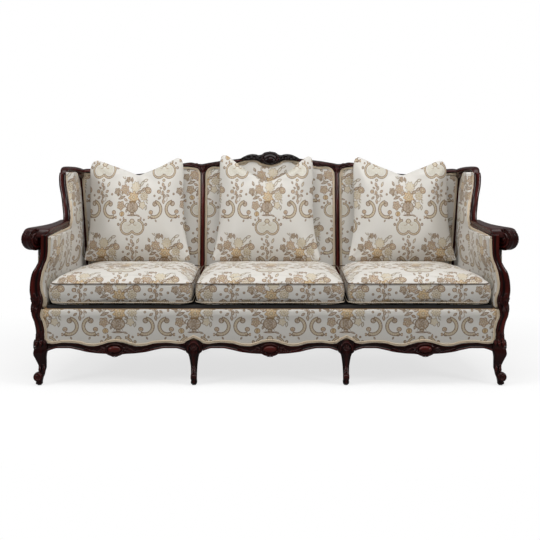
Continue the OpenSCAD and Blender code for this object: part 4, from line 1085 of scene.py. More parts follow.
wing_post = Work()
upright_bar(wing_post, WING_POST, wing_x,
            lambda r: (ARM_BACK_T + r[3] * WING_RAKE, ARM_BACK_T + r[4] * WING_RAKE),
            lambda share: SEAT_RAIL_Z + share * WING_POST_H, 120,
            lambda p: (2.2 * bead(p, 0.3, 0.4) - 1.5 * bead(p, -0.35, 0.14)
                       + 1.0 * bead(p, -0.8, 0.15)))
wing_rail = Work()
wing_rail_front = ARM_BACK_T + WING_RAKE * 0.88
wing_rail_end = (back_t(WING_TOP_Z + WING_RAIL_T * (WING_RAIL[4][3] + WING_RAIL[4][4]) / 2)
                 - STILE_PROUD / math.cos(RECLINE))
along_bar(wing_rail, WING_RAIL, wing_x,
          lambda r: (WING_TOP_Z + r[3] * WING_RAIL_T, WING_TOP_Z + r[4] * WING_RAIL_T),
          lambda share: mix(wing_rail_front, wing_rail_end, share), 50,
          lambda q: 1.6 * bead(q, 0.4, 0.3) - 1.2 * bead(q, -0.1, 0.12) + 1.2 * bead(q, -0.6, 0.2),
          math.tan(RECLINE), 2.6)

for name, side in SIDES.items():
    for node, work, material in (("front_leg", corner_leg, mahogany_upright),
                                 ("centre_leg", centre_leg, mahogany_upright),
                                 ("arm_post", arm_post, mahogany_upright),
                                 ("arm_rail", arm_rail, mahogany_level),
                                 ("wing_post", wing_post, mahogany_upright),
                                 ("wing_rail", wing_rail, mahogany_level)):
        wood_piece(f"carved_{node}_{name}", work.on(side), material, (f"{node}_{name}",))

# Outlines of the back

RAIL_LOW_CENTRE = [[0, 0.901], [0.137, 0.916], [0.197, 0.933], [0.268, 0.942], [0.375, 0.933],
                   [0.79, 0.887]]
RAIL_LOW_SIDE = [[0.12, 0.887], [0.2, 0.884], [0.42, 0.822], [0.62, 0.800], [0.83, 0.822],
                 [0.94, 0.842]]
RAIL_HIGH_SIDE = [[1, 0.861], [0.958, 0.867], [0.916, 0.872], [0.758, 0.854], [0.548, 0.832],
                  [0.372, 0.854], [0.17, 0.910], [0.096, 0.919], [0.047, 0.910], [0.01, 0.907]]
RAIL_HIGH_CENTRE = [[0.95, 0.913], [0.766, 0.928], [0.443, 0.948], [0.334, 0.959], [0.181, 0.965],
                    [0, 0.983]]
rail_high_rows = [[x * STILE_X, s] for x, s in RAIL_HIGH_CENTRE[::-1]] + [
    [mix(STILE_X, BACK_HALF, x), s] for x, s in RAIL_HIGH_SIDE[::-1]]
rail_low_centre_rows = [[x * STILE_IN, s] for x, s in RAIL_LOW_CENTRE] + [
    [STILE_IN - STILE_W * 1.9, 0.890], [STILE_IN - STILE_W * 0.75, 0.875], [STILE_IN, STILE_TOP]]
rail_low_side_rows = [[STILE_OUT, STILE_TOP], [STILE_OUT + STILE_W * 0.8, 0.875]] + [
    [mix(STILE_OUT, OUTER_STILE_IN, x), s] for x, s in RAIL_LOW_SIDE] + [
    [OUTER_STILE_IN, STILE_TOP]]


def rail_high(x):
    """Length up the slope of the top rail's upper edge."""
    return slope(run_through(rail_high_rows, np.abs(x))[:, 1])


def rail_low(x):
    """Length up the slope of the top rail's lower edge."""
    x = np.abs(np.asarray(x, float))
    centre = run_through(rail_low_centre_rows, np.clip(x, 0, STILE_IN))[:, 1]
    side = run_through(rail_low_side_rows, np.clip(x, STILE_OUT, OUTER_STILE_IN))[:, 1]
    return slope(np.where(x < STILE_IN, centre, np.where(x > STILE_OUT, side, STILE_TOP)))


# Top rail: a waved board with a bead along both edges and leaf carving over the stiles

top_rail = Work()
rail_stations = np.unique(np.concatenate([
    np.linspace(0, BACK_HALF, 260), np.linspace(STILE_IN - 30, STILE_OUT + 30, 60),
    np.linspace(OUTER_STILE_IN - 20, BACK_HALF, 16)]))
rail_stations = np.concatenate([-rail_stations[:0:-1], rail_stations])
edge_x = np.linspace(-BACK_HALF, BACK_HALF, 1600)
low_edge = np.stack([edge_x, rail_low(edge_x)], axis=1)
high_edge = np.stack([edge_x, rail_high(edge_x)], axis=1)


def distance_to(edge, x, s):
    """Distance of points of the rail's face from one of its edges."""
    return np.array([np.sqrt(((edge - (a, b)) ** 2).sum(axis=1).min()) for a, b in zip(x, s)])


def rail_face(x, s):
    """Height of the rail's moulding at a point of its face."""
    low = distance_to(low_edge, x, s)
    high = distance_to(high_edge, x, s)
    stile = np.maximum(np.abs(np.abs(x) - STILE_X) - 16, 0) / 18
    flat = 1 - np.exp(-stile**2)
    outer = np.maximum(OUTER_STILE_IN + 6 - np.abs(x), 0) / 18
    flat *= 1 - np.exp(-outer**2)
    rounding = -4.5 * np.exp(-np.minimum(low, high) / 1.8)
    return (rounding + 2.2 * bead(low, 5.5, 2.6) + 3.0 * bead(high, 9.5, 4.6) * mix(0.5, 1, flat)
            - 1.2 * bead(low, 10.5, 1.6) - 1.0 * bead(high, 1.5, 1.2))


ACROSS = np.linspace(0, 1, 19)
loops, relief = [], []
low_s, high_s = rail_low(rail_stations), rail_high(rail_stations)
for x, s0, s1 in zip(rail_stations, low_s, high_s):
    s = mix(s0, s1, ACROSS)
    height = rail_face(np.full(len(s), x), s)
    front = on_back(x, -STILE_PROUD + 1.5 - height, s)
    rear = on_back(x, [FRAME_BACK - 1, FRAME_BACK, FRAME_BACK, FRAME_BACK - 1],
                   [s1 - 1, s1 - 4, s0 + 4, s0 + 1])
    top = on_back(x, [2, 20], [s1, s1])
    under = on_back(x, [20, 2], [s0, s0])
    loops.append(np.vstack([front, top, rear, under]))
    relief.append(np.concatenate([moulded_relief(height), np.full(8, 0.35)]))
top_rail.loft(loops, relief)


RAIL_LEAF_PROUD = 9.0


def rail_leaf(points, width, rise, lobes):
    """A leaf on the top rail, along points whose height is a share of the back's."""
    leaf(top_rail, [on_back(x, -RAIL_LEAF_PROUD, slope(s)) for x, s in points], BACK_OUT, width, rise,
         lobes)


for side in (LEFT, RIGHT):
    x0 = side * STILE_X
    for dx, s in ((-4, 0.882), (0, 0.886), (4, 0.882)):
        rail_leaf([(x0, 0.846), (x0 + dx * 0.8, 0.866), (x0 + dx * 2.2, s + 0.014)], 13, 3.5, 2)
    for reach in range(4):
        a, b = 314 - 26 * reach, 288 - 26 * reach
        low, high = 0.0035 * reach, 0.004 * reach
        rail_leaf([(side * a, 0.893 + low), (side * (a + b) / 2, 0.905 + low),
                   (side * b, 0.908 + high)], 15, 4, 2)
        rail_leaf([(side * (a + 4), 0.902 + low), (side * ((a + b) / 2 + 4), 0.899 + low),
                   (side * (b + 6), 0.896 + high)], 11, 3.5, 2)
    for reach in range(2):
        out = 20 * reach
        rail_leaf([(side * (346 + out), 0.893 + 0.004 * reach), (side * (358 + out), 0.903),
                   (side * (372 + out), 0.909)], 14, 4, 2)
wood_piece("carved_top_rail", top_rail, mahogany_level, ("top_rail",))

# Crest: a cartouche between two sprays

crest = Work()
CREST_MID = 0.944
CREST_HIGH = [[0, 1], [0.17, 0.93], [0.3, 0.76], [0.37, 0.74], [0.46, 0.79], [0.57, 0.81],
              [0.7, 0.77], [0.82, 0.67], [0.93, 0.54], [1, 0.43]]
CREST_LOW = [[0, 0.04], [0.15, 0.08], [0.29, 0.24], [0.42, 0.34], [0.57, 0.38], [0.8, 0.36],
             [0.93, 0.38], [1, 0.44]]
CREST_FOOT = 0.895
EYE_W = 45.0
EYE_H = 31.0


def crest_edge(rows, x):
    """Length up the slope of the crest's upper or lower edge."""
    share = run_through(rows, np.abs(x) / CREST_HALF_W)[:, 1]
    return slope(mix(CREST_FOOT, 1.0, share))


def crest_height(x, s, low, high):
    """Carving of the crest over its board: an eye of ringed curls between two lobed sprays."""
    rise = s - slope(CREST_MID)
    eye = np.hypot(x / EYE_W, rise / EYE_H)
    lid = np.hypot(x / EYE_W, (rise + 9) / EYE_H)
    pupil = np.hypot((x - 4) / EYE_W, (rise + 1) / EYE_H)
    curl = np.hypot((np.abs(x) - 27) / EYE_W, (rise + 9) / EYE_H)
    rings = (2.6 * bead(eye, 0.88, 0.09) - 2.6 * bead(eye, 0.74, 0.05) + 2.8 * bead(lid, 0.66, 0.07)
             * soft_step(rise, -8, 6) - 2.0 * bead(lid, 0.52, 0.05) + 3.0 * bead(pupil, 0.0, 0.2)
             - 2.0 * bead(pupil, 0.3, 0.05) + 2.2 * bead(curl, 0.16, 0.07))
    side = np.abs(x) / CREST_HALF_W
    w = (s - low) / max(high - low, 1)
    lobes = np.cos(2 * np.pi * (5.5 * side - 1.1 * w + 0.5 * np.abs(w - 0.45)))
    spray = 2.6 * lobes - 2.4 * bead(w, 0.45, 0.09)
    out = soft_step(eye, 0.98, 1.12)
    return mix(rings + 2.5, spray, out) - 3.0 * bead(eye, 1.03, 0.05)


loops, relief = [], []
crest_x = np.linspace(-CREST_HALF_W, CREST_HALF_W, 241)
crest_lows, crest_highs = crest_edge(CREST_LOW, crest_x), crest_edge(CREST_HIGH, crest_x)
face = np.sin(np.linspace(-np.pi / 2, np.pi / 2, 34)) / 2 + 0.5
for x, low, high in zip(crest_x, crest_lows, np.maximum(crest_highs, crest_lows + 1)):
    s = mix(low, high, face)
    dome = (1 - np.abs(2 * face - 1) ** 3) ** 0.5 * min(1, (CREST_HALF_W + 4 - abs(x)) / 30) ** 0.5
    height = crest_height(np.full(len(s), x), s, low, high) * dome
    front = on_back(x, -STILE_PROUD - 1 - 6.0 * dome - height, s)
    rear = on_back(x, -STILE_PROUD + 3, [high - 2, (low + high) / 2, low + 2])
    loops.append(np.vstack([front, rear]))
    relief.append(np.concatenate([np.clip(0.12 + height / 14, 0, 0.7), np.full(3, 0.2)]))
crest.loft(loops, relief)
wood_piece("carved_crest", crest, mahogany_level, ("crest_carving",))

# Stiles

STILE_FACE = np.linspace(-1, 1, 17)


def stile(x_low, x_high, reach):
    """A moulded upright of the back between its foot and its top."""
    work = Work()
    s = np.linspace(BASE_TOP, slope(STILE_TOP) + reach, 60)
    loops, relief = [], []
    for k in s:
        mid = mix(x_low, x_high, (k - BASE_TOP) / (slope(STILE_TOP) - BASE_TOP))
        height = (2.8 * bead(STILE_FACE, 0, 0.42) + 1.0 * bead(abs(STILE_FACE), 0.82, 0.12)
                  - 3.2 * (np.abs(STILE_FACE) > 0.96))
        front = on_back(mid + STILE_FACE * STILE_W / 2, -STILE_PROUD + 1.6 - height, k)
        rear = on_back(mid + np.array([1, 0, -1]) * STILE_W / 2, FRAME_BACK, k)
        loops.append(np.vstack([front, rear]))
        relief.append(np.concatenate([moulded_relief(height), np.full(3, 0.35)]))
    work.loft(loops, relief)
    return work


stile_inner = stile(STILE_X, STILE_X, 6)
stile_outer = stile(STILE_FOOT_X, BACK_HALF - STILE_W / 2, 3)
for name, side in SIDES.items():
    for node, work in (("back_stile_inner", stile_inner), ("back_stile_outer", stile_outer)):
        wood_piece(f"moulded_{node}_{name}", work.on(side), mahogany_upright, (f"{node}_{name}",))

# Aprons with their leafage and cartouches

APRON_LOW = [[0, 0.66], [0.024, 0.58], [0.07, 0.49], [0.145, 0.49], [0.217, 0.59], [0.29, 0.73],
             [0.386, 0.82], [0.433, 0.84], [0.5, 0.95]]
APRON_HIGH = [[0, 0.15], [0.04, 0.2], [0.13, 0.125], [0.22, 0.17], [0.30, 0.33], [0.345, 0.345],
              [0.40, 0.24], [0.45, 0.12], [0.5, 0.07]]
APRON_SIDE_IN = STILE_X + CENTRE_LEG_HALF_W
APRON_SIDE_MID = (LEG_IN_X + APRON_SIDE_IN) / 2
APRON_CENTRE_HALF = STILE_X - CENTRE_LEG_HALF_W


def apron_edge(rows, share):
    """Height of an apron's edge at a share of its run."""
    return LEG_TOP_Z - APRON_H * run_through(rows, np.minimum(share, 1 - np.asarray(share)))[:, 1]


def apron(x0, x1):
    """A waved apron from x0 to x1, with a bead on its lower edge and leafage about its middle."""
    work = Work()
    share = np.linspace(0, 1, 200)
    low, high = apron_edge(APRON_LOW, share), apron_edge(APRON_HIGH, share)
    w = np.linspace(0, 1, 19)
    loops, relief = [], []
    for x, zl, zh in zip(mix(x0, x1, share), low, high):
        z = mix(zh, zl, w)
        down, up = z - zl, zh - z
        height = (3.4 * bead(down, 5.0, 3.2) - 1.6 * bead(down, 12, 2.4) + 1.2 * bead(up, 3.5, 2.5)
                  - 4 * np.exp(-down / 1.0))
        front = np.stack([np.full(len(z), x), 1.0 + 5 * bead(z, zh + 4, 9) - height, z], axis=1)
        rear = [[x, 14, zl], [x, APRON_T - 2, zl], [x, APRON_T, zl + 2], [x, APRON_T, LEG_TOP_Z],
                [x, BAND_T + 0.2, LEG_TOP_Z], [x, BAND_T + 0.2, zh + 1]]
        loops.append(np.vstack([front, rear]))
        relief.append(np.concatenate([moulded_relief(height), np.full(6, 0.35)]))
    work.loft(loops, relief)
    middle = (x0 + x1) / 2
    for side in (LEFT, RIGHT):
        for points, width in (
                (((40, 147), (60, 144), (84, 149)), 13), (((38, 158), (56, 160), (74, 155)), 10),
                (((64, 146), (86, 147), (108, 153)), 11), (((88, 151), (108, 152), (128, 158)), 10),
                (((46, 153), (66, 154), (84, 148)), 9), (((110, 155), (126, 158), (142, 163)), 8)):
            leaf(work, [(middle + side * x, -1.0, z) for x, z in points], FORWARD, width, 4.0, 3)
    return work


for name, x0, x1 in (("left", -LEG_IN_X, -APRON_SIDE_IN),
                     ("centre", -APRON_CENTRE_HALF, APRON_CENTRE_HALF),
                     ("right", APRON_SIDE_IN, LEG_IN_X)):
    wood_piece(f"carved_apron_{name}", apron(x0, x1), mahogany_level, (f"apron_{name}",))

CARTOUCHE_Z = LEG_TOP_Z - APRON_H * 0.53
BOSS_OUT = 7.0
# Half width, half height and depth of the rings of a cartouche's rim and of its boss
RIM_RINGS = ((41, 25, 1), (42, 26, -3), (40.5, 24.5, -6.5), (37, 21.5, -7.4), (33.5, 18.5, -6.5),
             (31.5, 17, -3), (30, 16, -3))
BOSS_RINGS = ((28.5, 15, -2), (28.5, 15, -6), (27, 14, -9.5), (22, 11, -12.8), (14, 7, -15),
              (6, 3, -16), (0.4, 0.3, -16.2))
boss_angles = round_angles(72)


def boss_ring(x, w, h, t):
    return np.stack([x + w * np.cos(boss_angles), np.full(len(boss_angles), t),
                     CARTOUCHE_Z + h * np.sin(boss_angles)], axis=1)


cartouches = Work()
for x in (-APRON_SIDE_MID - BOSS_OUT, 0, APRON_SIDE_MID + BOSS_OUT):
    cartouches.loft([boss_ring(x, *row) for row in RIM_RINGS], 0.5)
    cartouches.loft([boss_ring(x, *row) for row in BOSS_RINGS], 1.0)
    for side in (LEFT, RIGHT):
        rope(cartouches, spline([(x + side * a, -4, CARTOUCHE_Z + b) for a, b in
                                 ((0, -27), (14, -27), (28, -22), (40, -13), (46, -2), (42, 5))], 50),
             np.linspace(3.2, 2.0, 50), FORWARD)
        leaf(cartouches, [(x + side * 22, -3, CARTOUCHE_Z - 22), (x + side * 11, -5, CARTOUCHE_Z - 27),
                          (x, -3, CARTOUCHE_Z - 34)], FORWARD, 12, 4, 2)
        for dz, lean in ((6, 10), (-6, -8)):
            leaf(cartouches, [(x + side * 40, -3, CARTOUCHE_Z + dz * 0.5),
                              (x + side * 50, -5, CARTOUCHE_Z + dz),
                              (x + side * 62, -3, CARTOUCHE_Z + dz + lean * 0.4)], FORWARD, 12, 4, 2)
wood_piece("carved_cartouches", cartouches, mahogany_level, ("apron_cartouches",))

# Upholstery. The cloth map of a tight panel follows the panel's own face.

BAND_MAP_Z = 268.0
BACK_MAP_S = 470.0
PANEL_FILL = 0.6
COVER_FILL = 0.3


def post_inner_x(z):
    """Inner edge of the arm post at height z."""
    return LEG_IN_X + LEG_W * post_row(z)[2]


def wing_post_row(z):
    return run_through(WING_POST, [(z - SEAT_RAIL_Z) / WING_POST_H])[0]


def apron_high_z(x):
    """Lower edge of the band at a place along the front."""
    x = np.abs(np.asarray(x, float))
    centre = apron_edge(APRON_HIGH, (x / APRON_CENTRE_HALF + 1) / 2)
    side = apron_edge(APRON_HIGH, (x - APRON_SIDE_IN) / (LEG_IN_X - APRON_SIDE_IN))
    over_leg = LEG_TOP_Z - APRON_H * 0.15 + (12 + APRON_H * 0.15) * np.clip(
        1 - np.abs(x - STILE_X) / (CENTRE_LEG_HALF_W + 4), 0, 1) ** 0.8
    return np.where(x < APRON_CENTRE_HALF - 2, centre,
                    np.where((x > APRON_SIDE_IN + 2) & (x < LEG_IN_X), side, over_leg))


band = Work()
band_u = np.linspace(-1, 1, 401)
band_rows = []
for w in np.linspace(0, 1, 17):
    z = mix(apron_high_z(band_u * (LEG_IN_X + 6)) - 2, SEAT_RAIL_Z - 2, w)
    half = np.array([post_inner_x(k) for k in z]) + 4
    swell = ((1 - abs(2 * w - 1) ** 3) + 0.9 * bead(w, 0.86, 0.1)) * (1 - np.abs(band_u) ** 60)
    band_rows.append(np.stack([band_u * half, 3.0 - 3.4 * swell, z], axis=1))
band_front = np.array(band_rows)
band_rear = band_front.copy()
band_rear[..., 1] = BAND_T
band.pad(band_front, band_rear)
cloth_piece("band_front", band, lambda p, n: np.stack([p[:, 0], p[:, 2] - BAND_MAP_Z], axis=1),
            ("front_band",))


def back_map(p, n):
    """The back's cloth hangs straight up its slope."""
    up = (p[:, 1] - SEAT_D) * math.sin(RECLINE) + (p[:, 2] - SEAT_RAIL_Z) * math.cos(RECLINE)
    return np.stack([p[:, 0], up - BACK_MAP_S], axis=1)


def stile_inner_edge(s):
    """Inner edge of the outer stile at a length up the slope."""
    return mix(STILE_FOOT_X - STILE_W / 2, OUTER_STILE_IN,
               (s - BASE_TOP) / (slope(STILE_TOP) - BASE_TOP))


def back_panel(x0, x1_of):
    """A tight panel of the back, sunk at its edges, between x0 and the line x1_of."""
    u = np.linspace(0, 1, 90)
    front = []
    for k in u:
        x = mix(x0, x1_of(slope(0.6)), u)
        s = mix(BASE_TOP, rail_low(x) + 2, k)
        x = mix(x0, x1_of(s), u)
        depth = np.minimum.reduce([u, 1 - u, np.full(len(u), k), np.full(len(u), 1 - k)]) * 500
        front.append(on_back(x, 6.5 * np.exp(-depth / 16) - 1.5, s))
    front = np.array(front)
    work = Work()
    rear = front + (on_back(0, BACK_PAD_T, 0) - on_back(0, 0, 0))
    work.pad(front, rear)
    return work


centre_panel = back_panel(-STILE_IN - 2, lambda s: STILE_IN + 2)
side_panel = back_panel(STILE_OUT - 2, lambda s: stile_inner_edge(s) + 2)
for name, work in (("centre", centre_panel), ("right", side_panel), ("left", side_panel.mirror())):
    cloth_piece(f"panel_back_{name}", work, back_map, (f"inside_back_{name}",))

ARM_PAD_FRONT_T = 0.3 * LEG_D
ARM_PAD_TOP_Z = ARM_TOP_Z - ARM_RAIL_T * 1.1


def arm_pad_back_x(z):
    """Inner face of an arm's padding at its rear end."""
    return (rail_x(ARM_BACK_T) - RAIL_T / 2 - PAD_T * 0.4
            - PAD_T * (z - SEAT_RAIL_Z) / (WING_TOP_Z - SEAT_RAIL_Z))


def arm_pad_in_x(z, t):
    """Inner face of an arm's padding before it puffs up."""
    return mix(post_inner_x(z) - PAD_T, arm_pad_back_x(z),
               (t - ARM_PAD_FRONT_T) / (ARM_BACK_T - ARM_PAD_FRONT_T))


def arm_pad_front(z):
    return max(ARM_PAD_FRONT_T, post_row(z)[3] * LEG_D + 6)


SIDE_MAP_SHIFT = 60
FACES_FRONT = 0.7


def side_map(p, n):
    """The cloth of a side runs back along it, and across where a face looks forward."""
    across = np.where(np.abs(n[:, 1]) > FACES_FRONT, p[:, 0], p[:, 1] + SIDE_MAP_SHIFT)
    return np.stack([across, p[:, 2] - BAND_MAP_Z], axis=1)


def rounded_nose(x, t, radius, count):
    """A quarter round in plan, from a panel's inner face to its front."""
    a = np.linspace(0, np.pi / 2, count)
    return np.stack([x + radius - radius * np.cos(a), t + radius - radius * np.sin(a)], axis=1)


def ring_at(line, z):
    return np.column_stack([line, np.full(len(line), z)])


PUFF = 9
ABOVE_CUSHION_Z = (470, 540)

arm_panel = Work()
loops = []
for z in np.linspace(SEAT_RAIL_Z, ARM_PAD_TOP_Z + 2, 48):
    free = float(soft_step(z, *ABOVE_CUSHION_Z))
    front_t = arm_pad_front(z)
    t = np.linspace(ARM_BACK_T - 1, front_t + 8, 30)
    puff = PUFF * free * np.sin(np.pi * np.linspace(0.04, 0.96, 30)) ** 0.6
    inner = np.stack([arm_pad_in_x(z, t) - puff, t], axis=1)
    nose = rounded_nose(inner[-1, 0], front_t, 8, 8)
    outer = np.array([[post_inner_x(z) + 3, front_t], [post_inner_x(z) + 3, 60],
                      [arm_pad_back_x(z) + PAD_T, ARM_BACK_T - 1]])
    loops.append(ring_at(np.vstack([inner, nose[1:], outer]), z))
arm_panel.loft(loops)

CORNER_DROP = 42.0
CORNER_DROP_RUN = 120
WING_PUFF_START_Z = (480, 560)
WING_PUFF_END_Z = (730, 880)


def wing_map(p, n):
    """As side_map, with the depth drawn out so that the figures keep their width from the front."""
    across = np.where(np.abs(n[:, 1]) > FACES_FRONT, p[:, 0], p[:, 1] * 0.5 + SIDE_MAP_SHIFT)
    return np.stack([across, p[:, 2] - BAND_MAP_Z], axis=1)


wing_panel = Work()
loops = []
for z in np.linspace(SEAT_RAIL_Z, WING_TOP_Z + 3, 56):
    row = wing_post_row(z)
    tf, tb = ARM_BACK_T + WING_RAKE * row[3] + 0.3, ARM_BACK_T + WING_RAKE * row[4]
    te = back_t(z) - STILE_PROUD / math.cos(RECLINE)
    xo = WING_X + WING_W * row[2] - 0.3
    xi = min(arm_pad_back_x(z), xo - 5.7)
    xe = stile_outer_x(z) + STILE_W / 2
    w = np.linspace(0, 1, 26)
    free = float(soft_step(z, *WING_PUFF_START_Z) * (1 - soft_step(z, *WING_PUFF_END_Z))) * PUFF
    inner = np.stack([mix(xe - PAD_T, xi, w) - free * np.sin(np.pi * w) ** 0.7,
                      mix(te - 1, tf + 6, w)], axis=1)
    nose = rounded_nose(xi, tf, 6, 6)
    line = np.vstack([inner, nose[1:], [[xo + 4, tf], [xo + 4, tb], [xe + 2, te]]])
    back_share = np.clip((tb - te) / (tf - te), 0, 1)
    drop = np.concatenate([(1 - w) ** 2, np.zeros(len(nose)), [(1 - back_share) ** 2, 1.0]])
    drop = drop * CORNER_DROP
    loops.append(ring_at(line, z - drop * soft_step(z, WING_TOP_Z - CORNER_DROP_RUN, WING_TOP_Z)))
wing_panel.loft(loops)

OUT_ARM_TOP = ARM_TOP_Z - ARM_RAIL_T


def cover_end_t(z):
    """Depth at which an outside cover ends on the back frame."""
    return back_t(max(z, SEAT_RAIL_Z)) + FRAME_BACK / math.cos(RECLINE)


def stile_edge_x(z):
    """Outer edge of the outer stile on the rear side of the back frame."""
    return stile_outer_x(max(z, SEAT_RAIL_Z) + FRAME_BACK * math.sin(RECLINE)) + STILE_W / 2


def cover_x(z, t):
    """Inner face of an outside arm's cover."""
    return (rail_x(t) + RAIL_T / 2 + max(0, z - SEAT_RAIL_Z) / (OUT_ARM_TOP - SEAT_RAIL_Z)
            * COVER_T * max(0, 1 - t / SEAT_D) * 0.6)


def cover_loop(z, x0, t0, x1, t1, swell):
    """A level ring of an outside cover, from its front to its rear edge."""
    w = np.linspace(0, 1, 30)
    puff = swell * (1 - np.abs(2 * w - 1) ** 4)
    outer = np.stack([mix(x0, x1, w) + COVER_T - 1.5 + puff, mix(t0, t1, w)], axis=1)
    return ring_at(np.vstack([outer, [[x1, t1], [x0, t0]]]), z)


out_arm = Work()
loops = []
for z in np.linspace(LEG_TOP_Z, OUT_ARM_TOP + 2, 40):
    t0 = max(LEG_D, post_row(z)[4] * LEG_D) + 0.3
    t1 = cover_end_t(z)
    swell = 1.5 * math.sin(math.pi * (z - LEG_TOP_Z) / (OUT_ARM_TOP + 2 - LEG_TOP_Z))
    loops.append(cover_loop(z, cover_x(z, t0), t0, max(cover_x(z, t1), stile_edge_x(z)), t1, swell))
out_arm.loft(loops)
out_wing = Work()
loops = []
for z in np.linspace(OUT_ARM_TOP - 2, WING_TOP_Z - 8, 32):
    row = wing_post_row(z)
    x0 = WING_X + WING_W * row[1] - COVER_T
    t0 = ARM_BACK_T + WING_RAKE * row[4] + 0.3
    loops.append(cover_loop(z, x0, t0, stile_edge_x(z) + 0.3, cover_end_t(z), 1.2))
out_wing.loft(loops)

for name, side in SIDES.items():
    for label, node, work, layout, fill in (
            ("arm_inside", "inside_arm", arm_panel, side_map, PANEL_FILL),
            ("wing_inside", "inside_wing", wing_panel, wing_map, PANEL_FILL),
            ("arm_outside", "outside_arm", out_arm, side_map, COVER_FILL),
            ("wing_outside", "outside_wing", out_wing, side_map, COVER_FILL)):
        cloth_piece(f"panel_{label}_{name}", work.on(side), layout, (f"{node}_{name}",))

rear_cover = Work()
u = np.linspace(-1, 1, 160)
top_x = u * (BACK_HALF - 1)
base_half = rail_x(SEAT_D) + RAIL_T / 2 - COVER_T
cover_low_s = (FRAME_BACK + COVER_T) * math.tan(RECLINE)
front, rear = [], []
for w in np.linspace(0, 1, 60):
    x = mix(u * base_half, top_x, w)
    s = mix(cover_low_s, slope(run_through(rail_high_rows, np.abs(top_x))[:, 1] - 0.012), w)
    puff = 1.5 * (1 - (2 * w - 1) ** 6) * (1 - u**12)
    front.append(on_back(x, FRAME_BACK + COVER_T - 2 + puff, s))
    rear.append(on_back(x, FRAME_BACK, s))
rear_cover.pad(np.array(front), np.array(rear))
cloth_piece("panel_back_outside", rear_cover, back_map, ("outside_back",))


# Gimp and piping: cords swept along paths by one geometry tree

def geometry_bench(name, inputs):
    """A bench for a geometry tree with named inputs, and the wires of those inputs."""
    tree = bpy.data.node_groups.new(name, "GeometryNodeTree")
    tree.interface.new_socket("Geometry", in_out="OUTPUT", socket_type="NodeSocketGeometry")
    for label, kind in inputs:
        tree.interface.new_socket(label, in_out="INPUT", socket_type="NodeSocket" + kind)
    bench = Bench(tree)
    source = tree.nodes.new("NodeGroupInput")
    return bench, {label: Wire(bench, source.outputs[label]) for label, kind in inputs}


def painted(bench, shape, material):
    """Ends a geometry tree with real geometry in its material."""
    solid = bench.node("GeometryNodeRealizeInstances", None, {0: shape})
    paint = bench.node("GeometryNodeSetMaterial", None, {"Geometry": solid, "Material": material})
    bench.node("NodeGroupOutput", None, {0: paint})
    return bench.tree


def run_tree(carrier, tree, values):
    """Leaves what a geometry tree makes of an object as the object's plain mesh."""
    tool = carrier.modifiers.new(tree.name, "NODES")
    tool.node_group = tree
    for item in tree.interface.items_tree:
        if item.item_type == "SOCKET" and item.in_out == "INPUT" and item.name in values:
            tool[item.identifier] = values[item.name]
    apply_modifiers(carrier)
    outward(carrier)


CORD_SIDES = 10


def cord_tree():
    """Sweeps a round section along paths, and keeps the way along and round it for the strands."""
    bench, given = geometry_bench("cord", (("Paths", "Geometry"), ("Radius", "Float"),
                                           ("Step", "Float"), ("Material", "Material")))

    def kept(name, curve, value):
        way = bench.node("GeometryNodeSplineParameter", out=value)
        return bench.node("GeometryNodeStoreNamedAttribute", None,
                          {"Geometry": curve, "Name": name, "Value": way})

    lines = bench.node("GeometryNodeMeshToCurve", None, {0: given["Paths"]})
    even = bench.node("GeometryNodeResampleCurve", {"mode": "LENGTH"},
                      {0: lines, "Length": given["Step"]})
    ring = bench.node("GeometryNodeCurvePrimitiveCircle", None,
                      {"Resolution": CORD_SIDES, "Radius": given["Radius"]})
    swept = bench.node("GeometryNodeCurveToMesh", None,
                       {"Curve": kept("run", even, "Length"), "Fill Caps": True,
                        "Profile Curve": kept("round", ring, "Factor")})
    return painted(bench, swept, given["Material"])


cord_nodes = cord_tree()


def cords(name, paths, radius, material, step=2.5):
    """A plain mesh of round cords along paths, each an (n, 3) run of points and whether it closes."""
    points, edges = [], []
    for line, closed in paths:
        base = len(points)
        points += list(line)
        edges += [(base + i, base + i + 1) for i in range(len(line) - 1)]
        if closed:
            edges.append((base + len(line) - 1, base))
    carrier = new_shape(name, points, edges, [])
    run_tree(carrier, cord_nodes, {"Radius": radius * MM, "Step": step * MM, "Material": material})
    return carrier


def beside(line, out, offset, closed):
    """The line moved sideways in its own face, by offset."""
    line = np.asarray(line, float)
    if closed:
        tangent = np.roll(line, -1, axis=0) - np.roll(line, 1, axis=0)
    else:
        tangent = np.gradient(line, axis=0)
    side = np.cross(tangent, out)
    side /= np.linalg.norm(side, axis=1)[:, None]
    return line + side * offset


CORD_R = 2.7
CORD_IN = GIMP_W / 2


def double_cord(line, out, closed, lift=2.0):
    """The two strands of gimp along a line, standing on a face that looks along out."""
    out = np.asarray(out, float)
    line = np.asarray(line, float) + out / np.linalg.norm(out) * lift
    return [(beside(line, out, side * CORD_R, closed), closed) for side in (LEFT, RIGHT)]


def panel_line(x0, x1_of):
    """Points round a back panel, half a gimp's width inside its edge."""
    xs = np.linspace(x0 + CORD_IN, x1_of(slope(STILE_TOP)) - CORD_IN, 160)
    top = on_back(xs, 1.5, rail_low(xs) - CORD_IN)
    s = np.linspace(slope(STILE_TOP) - 2 * CORD_IN, BASE_TOP + CORD_IN, 60)
    right = on_back(x1_of(s) - CORD_IN, 1.5, s)
    low = np.linspace(x1_of(BASE_TOP) - CORD_IN, x0 + CORD_IN, 60)[1:-1]
    bottom = on_back(low, 1.5, BASE_TOP + CORD_IN)
    left = on_back(np.full(60, x0 + CORD_IN), 1.5, s[::-1])
    loop = np.vstack([top[1:-1], right, bottom, left])
    return resampled(loop, 520, closed=True)


